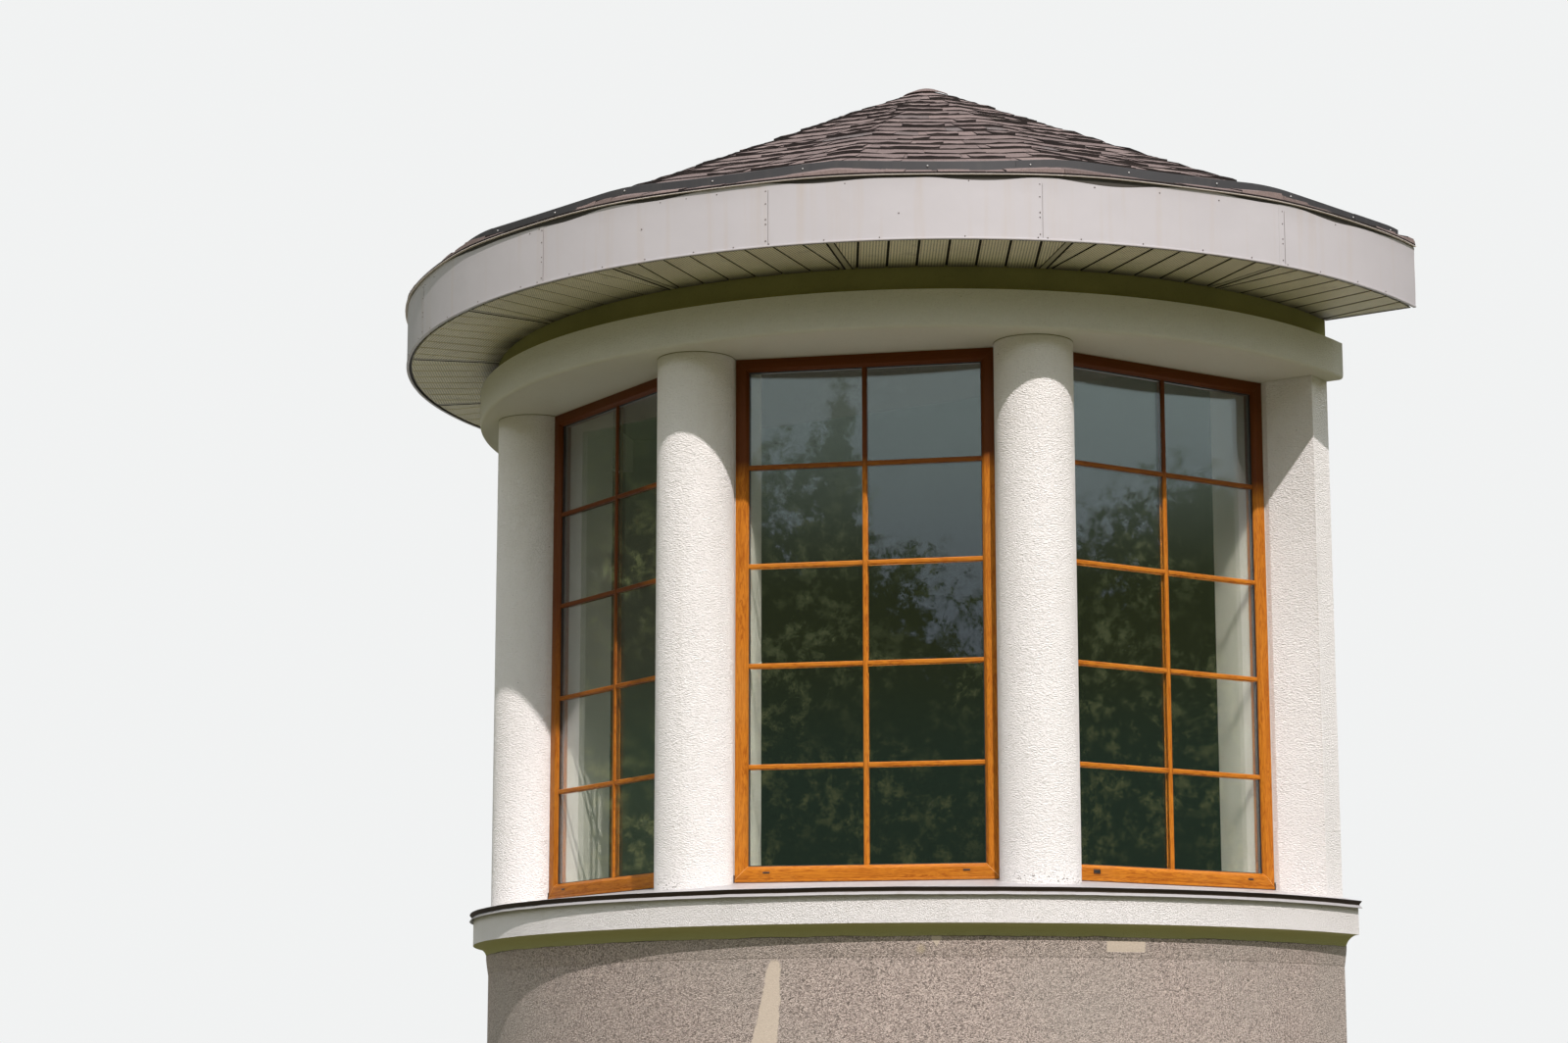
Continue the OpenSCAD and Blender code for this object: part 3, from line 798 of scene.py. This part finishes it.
def build_windows():
    """Frames, glazing bars, panes, trims and sealant of the four windows."""
    for name, angle in window_angles.items():
        stand = turned(angle, frame_out, seat_z) @ move(-window_w / 2, 0.0, 0.0)
        rng = random.Random(int(angle * 10) + 7000)
        build_frame(name, stand, rng)
        build_bars(name, stand, rng)
        build_glazing(name, stand)
        build_trims(name, stand)


def build_reveals():
    """Plastered wedges between the windows, seen through the glass as a light strip beside each frame."""
    deep, near = frame_out - 0.361, frame_out - frame_depth - 0.002
    low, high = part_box("floor_slab")[1].z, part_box("ceiling_slab")[0].z
    half_opening = window_w / 2 - frame_face + 0.005
    lean = radians(side_half)
    across, ahead = sin(lean), cos(lean)
    near_side, deep_side = [(reach * across - half_opening * ahead, -(reach * ahead + half_opening * across))
                            for reach in (near, deep)]
    outline = [near_side, deep_side, (-deep_side[0], deep_side[1]), (-near_side[0], near_side[1])]
    whole = bmesh.new()
    for angle in (left_end, *column_angles, right_end):
        part, corners = pushed([(x, y, low) for x, y in outline], (0.0, 0.0, high - low))
        soften(part, part.edges[:], 0.004, 2)
        bmesh.ops.transform(part, matrix=turned(angle), verts=part.verts)
        if angle in all_round:
            cut_off(part, (0.0, centre_y, 0.0), (0.0, 1.0, 0.0))
            fill_holes(part)
        join(whole, part)
    put_in_scene("inner_reveals", whole, ["plaster"], smooth=35)


# Fascia and soffit

def eave_line(angle):
    """Height of the drip strip's lower edge, which runs nearly level around the eave."""
    at_hip = 0.5 - 0.5 * cos(radians(angle) * 360.0 / facet + pi)
    return roof_height(roof_r) + 0.001 + 0.006 * at_hip + 0.002 * waver(angle * 0.09, 4.0, 2.0)


def build_fascia():
    """Eight thin sheets that bulge a little, with a wavy upper edge, a hem, lapped seams and nails."""
    pitch, first = 25.7, 16.3
    seams = [left_end] + [first + pitch * i for i in range(-4, 3)] + [right_end]
    rows, hem_h, lap, thick = 9, 0.011, 0.35, 0.0009
    whole = bmesh.new()
    for i, low, end in lapped(seams, lap):
        on_top = i % 2
        start = low - lap * on_top
        end = end if on_top else seams[i + 1]
        stand_off = 0.0006 + 0.001 * on_top
        heights = [fascia_z + fascia_h * r / (rows - 1) for r in range(rows)]
        sheet = spun([(eave_r - 0.0008 + stand_off, z) for z in heights], start, end, 0.5)
        for vert in sheet.verts:
            angle, z = angle_of(vert.co), vert.co.z
            share = (z - fascia_z) / fascia_h
            bulge = 0.0022 * waver(angle * 0.11, share * 1.3, i * 9.0)
            ripple = 0.0012 * waver(angle * 0.33, share * 0.8, 40.0 + i)
            push_out(vert, max(0.0, bulge + ripple) * min(1.0, 6 * share) + 0.001 * share)
            if share > 0.999:
                wave, wide = waver(angle * 0.13, 3.1, 7.7), waver(angle * 0.09, 8.1, 1.7)
                vert.co.z = min(z + 0.01 + 0.03 * wave + 0.014 * wide, eave_line(angle) - 0.0022)
                push_out(vert, 0.0018 + 0.003 * wave)
        thicken(sheet, thick)
        join(whole, sheet)
        front, back = eave_r + stand_off, eave_r - 0.012
        hem = [(eave_r - 0.001, hem_h), (front + 0.002, hem_h - 0.002), (front + 0.003, 0.003),
               (front + 0.0018, 0.0), (back, -0.0004), (back, 0.0012), (eave_r - 0.001, 0.0016)]
        join(whole, spun([(radius, fascia_z + z) for radius, z in hem], start, end, closed=True))
    put_in_scene("fascia_sheets", whole, ["fascia"], ["fascia"], smooth=40)
    build_fascia_nails(seams[1:-1], lap)


def build_fascia_nails(seams, lap):
    """Nails along both edges and the seams, where the photo shows them and at random out of its sight."""
    low_z, high_z = fascia_z + 0.014, fascia_top - 0.012
    places = [(a, low_z) for a in (-9.9, -5.4, -1.2, 3.8, 9.1, 13.2, 16.7, 22.0, 27.2, 35.1, 41.9, 42.8)]
    places += [(a, high_z) for a in (-9.7, 5.5, 8.3, 11.5, 24.0, 35.5)]
    places += [(seam + 0.1, fascia_z + fascia_h * share) for seam in seams
               for share in (0.1, 0.38, 0.46, 0.72, 0.93)]
    places += [(29.0, fascia_z + 0.139), (3.4, fascia_z + 0.179)]
    rng = random.Random(31)
    for angle, stop in ((-89.0, -12.0), (46.0, 89.0)):
        while angle < stop:
            places.append((angle, low_z + rng.uniform(-0.003, 0.003)))
            if rng.random() < 0.5:
                places.append((angle + rng.uniform(1.0, 3.0), high_z - 0.002 - rng.uniform(0.0, 0.01)))
            angle += rng.uniform(4.0, 7.5)
    nails = bmesh.new()
    for angle, height in places:
        join(nails, stud(10, 0.0036, 0.0022, 0.003), turned(angle, eave_r + 0.0036, height))
    tall = fascia_h - 0.03
    for angle in seams:
        join(nails, block((0.0018, 0.0012, tall), (0.0, 0.0, fascia_z + 0.012 + tall / 2), material=1),
             turned(angle + lap, eave_r + 0.0034))
    put_in_scene("fascia_nails_and_seams", nails, ["nail", "seam"], smooth=35)


def soffit_sector(angle, inner_r, outer_r, strip_half, pitch):
    """Soffit boards of one sector, side by side along its middle line, with a groove between each two whose
    inner faces are painted dark as shade.
    """
    part = bmesh.new()
    half_turn = radians(facet_half)
    count = ceil((outer_r * tan(half_turn) + 0.02) / pitch)
    lip, groove_half, deep = 0.0045, 0.0135 / 2, 0.0085
    line = []
    for middle in (i * pitch for i in range(-count, count + 1)):
        left, right = middle - groove_half, middle + groove_half
        line += [(left - lip, 0.0), (left, 0.0022), (left, deep), (right, deep), (right, 0.0)]
    row = [part.verts.new((x, -sqrt(inner_r ** 2 - min(abs(x), 0.9 * inner_r) ** 2), z))
           for x, z in line]
    edges = [part.edges.new(pair) for pair in zip(row, row[1:])]
    for vert in corners_among(bmesh.ops.extrude_edge_only(part, edges=edges)):
        vert.co.y = -sqrt(outer_r ** 2 - vert.co.x ** 2)
    for side in (-1.0, 1.0):
        normal = Vector((side * cos(half_turn), sin(half_turn), 0.0))
        cut_off(part, normal * -strip_half, normal)
    map_shift = 40.0
    lay_map(part, "boards", lambda point: (point.x + map_shift, point.y + map_shift))
    for face in part.faces:
        if face.normal.z > 0.5:
            face.normal_flip()
    thicken(part, -0.0015)
    for face in part.faces:
        # Painted shade: the faces up inside each groove take the near-black finish.
        face.material_index = 1 if face.calc_center_median().z > 0.0035 else 0
    bmesh.ops.transform(part, matrix=turned(angle, 0.0, soffit_z - 0.0095), verts=part.verts)
    return part


def build_soffit():
    """Perforated boards with shade painted dark in the grooves, and a strip at each hip whose two edges are
    painted dark as shade.
    """
    inner_r, outer_r = wall_r + 0.003, eave_r - 0.03
    strip_half, pitch = 0.021, 0.155
    boards = bmesh.new()
    for angle in facet_angles:
        join(boards, soffit_sector(angle, inner_r, outer_r, strip_half, pitch))
    put_in_scene("soffit_boards", boards, ["soffit", "groove"])

    strips = bmesh.new()
    length, middle_r = outer_r - inner_r, (outer_r + inner_r) / 2
    for angle in hip_angles:
        shift = {left_end: 0.5, right_end: -0.5}.get(angle, 0.0)
        width = strip_half * (1.3 if shift else 2.0)
        where = turned(angle, middle_r, soffit_z - 0.006) @ move(shift * width, 0.0, 0.0)
        join(strips, block((width * 0.7, length, 0.004), (0, 0, -0.001), 0.001, 1), where)
        for x in (-width / 2, width / 2):
            join(strips, block((0.0085, length, 0.006), (x, 0, -0.0022), 0.0015, 2, 1), where)
    put_in_scene("soffit_strips", strips, ["strip", "groove"], smooth=35)


# Roof

def roof_height(distance):
    """Height of the roof boards' upper face at a distance from the centre, measured square to a facet."""
    return deck_apex - distance * tan(roof_slope)


def hip_share(angle):
    """How near a hip an angle lies: 0 on a facet's middle line and 1 on a hip."""
    middle = (angle // facet + 0.5) * facet
    return min(1.0, abs(angle - middle) / facet_half)


def flared(share, soft_from):
    """How much further out a level line runs, when its bend at the hips is rounded off."""
    return 1.0 + hip_flare * (share ** 2 - max(0.0, share - soft_from) ** 2 / (1.0 - soft_from))


def roof_point(angle, distance, lift, reach):
    """A point over the roof boards. Near a hip the shingles bend over in a curve instead of a fold."""
    share = hip_share(angle)
    radius = distance * flared(share, 0.8)
    if radius > reach:
        distance, radius = distance * reach / radius, reach
    over_hip = 0.01 * distance / roof_r * share ** 2
    side = radians(angle)
    height = roof_height(distance) + (lift + over_hip) / cos(roof_slope)
    return Vector((radius * sin(side), centre_y - radius * cos(side), height))


def shingle_tab(low, high, left, right, slant, lift, tone, rng, first):
    """One tab between two angles: its butt edge stands proud, waves a little and shows its dark core, painted
    darker still as the shade under the butt.
    """
    part = bmesh.new()
    columns = max(2, min(7, round((right - left) * low / 2.0)))
    bmesh.ops.create_grid(part, x_segments=columns, y_segments=2, size=0.5)
    tops = set(corners_among(bmesh.ops.extrude_face_region(part, geom=part.faces[:])))
    seed = rng.uniform(0, 90)
    for face in part.faces:
        face.material_index = 0 if all(v in tops for v in face.verts) else 1
    row_at = {0.0: 0.0, 0.5: 0.9, 1.0: 1.0}
    for vert in part.verts:
        across, down = vert.co.x + 0.5, row_at[round(vert.co.y + 0.5, 2)]
        angle = left + (right - left) * across + slant * down * (0.5 - across)
        angle = max(left_end, min(right_end, angle))
        distance = high + (low - high) * down
        if down > 0.5:
            distance += 0.011 * waver(angle * 0.45, seed, 0.3)
        proud = 0.0015 + (lift + 0.0065 * waver(angle * 0.55, low * 3.0, seed * 0.05)) * down
        at_butt = down == 1.0
        reach = roof_r + (0.005 if at_butt else 0.001)
        vert.co = roof_point(angle, distance, proud if vert in tops else -0.001, reach)
        if first and at_butt:
            vert.co.z = eave_line(angle) + (0.014 if vert in tops else 0.005)
    bmesh.ops.recalc_face_normals(part, faces=part.faces)
    return lay_tone(part, tone)


def build_shingles():
    """Laminated shingles: an even course below and thicker random tabs on it, woven over the hips."""
    rng = random.Random(5)
    exposure, hidden, joint = 0.176 * cos(roof_slope), 0.03, 0.0015
    first_low, last_low, top = roof_r + 0.012, 0.1, 0.02
    for name, first, last in (("left", left_end, 0.0), ("right", 0.0, right_end)):
        whole = bmesh.new()
        for course in range(int((first_low - last_low) / exposure) + 1):
            low = first_low - course * exposure
            high, lowest = max(low - exposure - hidden, top), course == 0
            angle = first - rng.uniform(0.0, 3.0)
            while angle < last:
                width = degrees(rng.uniform(0.2, 0.42) / low)
                begin, end = max(angle, first), min(angle + width, last)
                if end - begin > 0.05:
                    lift, tone = rng.uniform(0.0072, 0.0108), rng.uniform(0.0, 0.75)
                    end -= degrees(joint / low)
                    join(whole, shingle_tab(low, high, begin, end, 0.0, lift, tone, rng, lowest))
                if rng.random() < 0.74:
                    tab = degrees(rng.uniform(0.1, 0.3) / low)
                    begin = max(first, angle + rng.uniform(0.0, 0.3) * width)
                    end = min(begin + tab, last)
                    slant = degrees(rng.uniform(0.004, 0.03) / low)
                    if end - begin > 0.3 * tab:
                        lift, tone = rng.uniform(0.0132, 0.0188), rng.uniform(0.25, 1.0)
                        join(whole, shingle_tab(low + 0.001, high, begin, end, slant, lift, tone, rng,
                                                lowest))
                angle += width
        bmesh.ops.dissolve_degenerate(whole, dist=0.0003, edges=whole.edges)
        put_in_scene("shingles_" + name, whole, ["shingle", "core"])

    cap = spun([(0.155, -0.06), (0.15, -0.054), (0.075, -0.018), (0.03, -0.002), (0.0, 0.0)],
               *all_round, 7.5)
    thick = 0.004
    thicken(cap, thick)
    bmesh.ops.translate(cap, vec=(0.0, 0.0, deck_apex + thick), verts=cap.verts)
    put_in_scene("apex_cap", lay_tone(cap, 0.35), ["shingle"], smooth=40)


def build_guard():
    """Snow guard strip in overlapping lengths, with rivets, bending softly over the hips."""
    height, thick, spacing, first_at = 0.052, 0.0022, 20.3, -0.4
    joints = [left_end] + [first_at + spacing * i for i in range(-4, 5)] + [right_end]
    profile = [(0.0, -0.004), (0.0, height * 0.5), (0.0, height - 0.003), (-0.004, height)]
    strips = bmesh.new()
    for i, low, high in lapped(joints, 0.5):
        strip = spun([(guard_r + out, z) for out, z in profile], low, high)
        for vert in strip.verts:
            angle = angle_of(vert.co)
            sway = waver(angle * 0.1, vert.co.z * 9.0, i * 5.0)
            vert.co.z += roof_height(guard_r / flared(hip_share(angle), 0.75)) + 0.004
            push_out(vert, 0.0024 * (i % 2) - thick - 0.002 + 0.0015 * sway)
        thicken(strip, thick)
        join(strips, strip)
    put_in_scene("guard_strips", strips, ["guard"], ["snow_guard"], smooth=40)

    rivets = bmesh.new()
    for angle in (-87.5, -78.0, -68.3, -58.1, -48.4, -38.6, -28.8, -18.9, -9.2, 0.2, 10.3, 19.6, 31.7, 41.6,
                  51.5, 61.2, 70.6, 80.4, 88.0):
        aside = radians(angle - nearest(facet_angles, angle))
        join(rivets, stud(12, 0.0043, 0.0024, 0.004),
             turned(angle, guard_r + 0.0022, roof_height(guard_r * cos(aside)) + 0.03))
    put_in_scene("guard_rivets", rivets, ["rivet"], smooth=35)


def build_drip_strip():
    """Light metal nose under the first course, and the board edge behind it, painted near-black as shade."""
    nose = spun([(eave_r - 0.01, 0.0028), (roof_r + 0.005, 0.003), (roof_r + 0.0088, 0.0018),
                 (roof_r + 0.0095, -0.0002), (roof_r + 0.0065, -0.0014), (eave_r - 0.006, -0.0008)],
                *all_round, closed=True)
    for vert in nose.verts:
        vert.co.z += eave_line(angle_of(vert.co))
    put_in_scene("drip_strip", nose, ["drip"], ["drip_edge"], smooth=50)

    foot, face, back = fascia_top - 0.03, eave_r + 0.0004, eave_r - 0.002
    at_top = 9.0
    edge = spun([(back, foot), (face, foot), (face, at_top), (back, at_top)], *all_round, closed=True)
    for vert in edge.verts:
        if vert.co.z > foot + 1.0:
            vert.co.z = eave_line(angle_of(vert.co)) + 0.003
    put_in_scene("eave_packer", edge, ["eave"])


# Ledge and walls

def build_sill():
    """Sloping sill sheets with a pinched drip edge and lapped joints."""
    nose_z, slope_foot, thick = 2.7205, seat_z - 0.0175, 0.0012
    joints = [left_end, -75.0, -52.0, -30.8, -3.2, 8.1, 25.5, 47.0, 68.0, right_end]
    inner, lip = frame_out + 0.004, flashing_r - 0.004
    on_slope = 2.0
    profile = [(radius, on_slope) for radius in (inner, inner + 0.17, inner + 0.34, flashing_r - 0.016)]
    profile += [(flashing_r + out, z) for out, z in (
        (-0.002, 0.0), (0.0, -0.0015), (-0.006, -0.009), (-0.0145, -0.018), (-0.0145, -0.0245),
        (-0.006, -0.031), (0.001, -0.0395), (-0.004, -0.041))]
    whole = bmesh.new()
    for i, low, high in lapped(joints, 0.45):
        sheet = spun(profile, low, high)
        for face in sheet.faces:
            # Painted shade: the drip's upper, inward-sloping faces take the near-black finish.
            face.material_index = 1 if all(-0.025 < v.co.z < -0.001 for v in face.verts) else 0
        for vert in sheet.verts:
            angle = angle_of(vert.co)
            if vert.co.z == on_slope:
                radius = hypot(vert.co.x, vert.co.y - centre_y)
                aside = radians(angle - nearest(window_angles.values(), angle))
                share = (lip - radius) / (lip - inner)
                vert.co.z = nose_z + share * (slope_foot - nose_z)
                push_out(vert, lip - share * (lip - inner / cos(aside)) - radius)
            else:
                wave, ripple = waver(angle * 0.16, 1.0, i * 3.0), waver(angle * 0.5, 5.0, i * 3.0)
                low_part = min(1.0, -vert.co.z / 0.041)
                vert.co.z += nose_z + 0.0012 * wave + 0.0015 * ripple * low_part
                push_out(vert, 0.0018 * (i % 2) + 0.002 * wave + 0.001 * ripple)
        thicken(sheet, thick)
        join(whole, sheet)
    put_in_scene("sill_sheets", whole, ["flashing", "painted_drip_shade"], ["sill_flashing"], smooth=40)


def build_frame_feet():
    """An oak-coloured foot under each frame, with a dark joint below it and at both its ends."""
    foot, end_joint = (window_w - 0.001, 0.0046, 0.0145), (0.0065, 0.01, 0.04)
    level_joint = (window_w - 0.01, 0.01, 0.005)
    foot_z, level_z, end_z, past_frame, rounding = -0.0064, -0.016, 0.004, 0.002, 0.0015
    whole = bmesh.new()
    for i, angle in enumerate(window_angles.values()):
        stand = turned(angle, frame_out, seat_z)
        join(whole, lay_grain(block(foot, (0.0, -0.0001, foot_z), 0.0012), 3.0 * i), stand)
        join(whole, block(level_joint, (0.0, 0.0, level_z), rounding, 2, 1), stand)
        for x in (-window_w / 2 - past_frame, window_w / 2 + past_frame):
            join(whole, block(end_joint, (x, 0.001, end_z), rounding, 2, 1), stand)
    put_in_scene("frame_feet", whole, ["oak", "joint"], smooth=35)


def build_plinth_skim():
    """The plinth's render, drawn up to the cove with a ragged edge and a dark line on it."""
    foot_z, edge_z = plinth_top - 0.085, plinth_top + 0.0165
    reach, rim_h = wall_r + 0.014, 0.0022
    skim = spun([(wall_r - 0.002, foot_z), (wall_r + 0.0012, foot_z), (wall_r + 0.0075, plinth_top - 0.045),
                 (reach - 0.0005, plinth_top - 0.001), (reach, edge_z), (reach - 0.006, edge_z)],
                *all_round, 0.6)
    rim = spun([(reach + 0.0003, edge_z - 0.0004), (reach + 0.0003, edge_z + rim_h),
                (reach - 0.005, edge_z + rim_h)], *all_round, 0.6)
    whole = bmesh.new()
    for index, part, top in ((0, skim, edge_z - 0.0005), (1, rim, edge_z - 0.001)):
        for vert in part.verts:
            if vert.co.z > top:
                angle = angle_of(vert.co)
                ragged = waver(angle * 0.35, 2.0, 0.5) + 0.5 * waver(angle * 1.4, 5.0, 0.5)
                thick = max(0.15, 0.6 + 1.3 * waver(angle * 0.16, 9.0, 1.5))
                if vert.co.z > edge_z + 0.002:
                    vert.co.z -= rim_h * (1.0 - thick)
                vert.co.z += 0.0042 * ragged
        join(whole, colour_faces(part, index))
    put_in_scene("plinth_skim", whole, ["plinth", "joint"], smooth=50)


def build_column_lines():
    """A fine line of painted shade where each column meets the beam."""
    lines = bmesh.new()
    for angle in column_angles:
        ring = bmesh.new()
        bmesh.ops.create_cone(ring, cap_ends=False, segments=72, radius1=column_r + 0.0006,
                              radius2=column_r + 0.0006, depth=0.0032)
        thicken(ring, 0.001)
        join(lines, ring, turned(angle, column_ring_r, beam_z - 0.0018))
    put_in_scene("column_head_lines", lines, ["painted_crease_shade"], smooth=50)


# Light

def make_world():
    """A world that looks white to the camera and lights the bay as a sky over green ground does.

    What mirrors shows a sky over a far dark line, and glass looks into the house's dark room.
    """
    world = bpy.data.worlds.new("pale_studio")
    world.use_nodes = True
    world.node_tree.nodes.clear()
    studio = Graph(world.node_tree)
    ray = studio.read("TexCoord", output="Generated")
    across, ahead, up = ray.split()

    def plain(*colour):
        return studio.read("Background", {"Color": colour})

    above_line = (up + ray.noise(17.0, 9.0, 0.7).fit(0.0, 1.0, -0.06, 0.06)
                  + ray.noise(190.0, 8.0, 0.8).fit(0.2, 0.8, -0.036, 0.036)
                  + across.fit(0.185, 0.23, -0.02, 0.026) + across.fit(0.3, 0.6, 0.0, -0.034)
                  + abs(across - 0.198).fit(0.0, 0.012, -0.036, 0.0))
    open_sky = above_line.ease(0.172, 0.192) * across.ease(-0.85, -0.25)
    to_right = across.ease(-0.6, 0.1)
    paler_up = up.ease(0.14, 0.23).between(plain(0.42, 0.47, 0.57), plain(0.78, 0.91, 0.93))
    middle_dark = to_right.between(plain(0.07, 0.076, 0.046), plain(0.072, 0.08, 0.012))
    near_dark = up.ease(0.1, 0.15).between(plain(0.055, 0.1, 0.058), middle_dark)
    far_dark = to_right.between(plain(0.085, 0.105, 0.06), plain(0.44, 0.52, 0.44))
    clusters = ray.noise(165.0, 9.0, 0.8).fit(0.5, 0.6) * ray.noise(30.0, 3.0, 0.6).fit(0.38, 0.58)
    mottled = clusters.between(near_dark, plain(0.34, 0.37, 0.16))
    opposite = open_sky.between(up.ease(0.16, 0.225).between(mottled, far_dark), paler_up)
    dark_room = plain(0.012, 0.016, 0.013)
    mirrored = ahead.ease(0.45, 0.6).between(opposite, dark_room)
    in_room = ahead.ease(-0.1, 0.3) * across.ease(0.75, 0.35)
    through = in_room.between(mirrored, dark_room)
    haze = up.ease(0.18, 0.55).between(plain(0.19, 0.185, 0.095), plain(1.3, 1.36, 1.42))
    shown = up.ease(0.6, 0.95).between(haze, plain(0.5, 0.57, 0.7))
    shown = studio.ray_is("Is Camera Ray").between(shown, plain(0.88, 0.89, 0.89))
    shown = studio.ray_is("Is Glossy Ray").between(shown, mirrored)
    shown = studio.ray_is("Is Transmission Ray").between(shown, through)
    studio.add("OutputWorld", {"Surface": shown})
    bpy.context.scene.world = world


def add_sun():
    """Low sun from the right, in front of the bay."""
    sun = bpy.data.lights.new("key", "SUN")
    sun.energy = 3.75
    sun.angle = radians(0.7)
    sun.color = (1.0, 0.94, 0.925)
    link("key", sun).rotation_euler = pointing(132.0, 47.0).to_track_quat("Z", "Y").to_euler()


def add_floor():
    """A pale floor that keeps the bay's shadow, and throws green light up at it."""
    ground = bmesh.new()
    bmesh.ops.create_grid(ground, x_segments=1, y_segments=1, size=60.0)
    mesh = bpy.data.meshes.new("floor")
    ground.to_mesh(mesh)
    ground.free()
    finish = Finish("pale_floor", 0.9)
    seen = finish.ray_is("Is Camera Ray", "Is Glossy Ray", "Is Transmission Ray")
    finish.set("Base Color", seen.between((0.085, 0.08, 0.034), (0.42, 0.42, 0.415)))
    mesh.materials.append(finish.material)
    floor = link("floor", mesh)
    floor.location.z = -0.002


def main():
    aim_camera()
    make_finishes()
    finish_nodes()
    build_windows()
    build_reveals()
    build_fascia()
    build_soffit()
    build_shingles()
    build_guard()
    build_drip_strip()
    build_sill()
    build_frame_feet()
    build_plinth_skim()
    build_column_lines()
    make_world()
    add_sun()
    add_floor()
    bpy.context.scene.view_settings.view_transform = "Standard"


main()
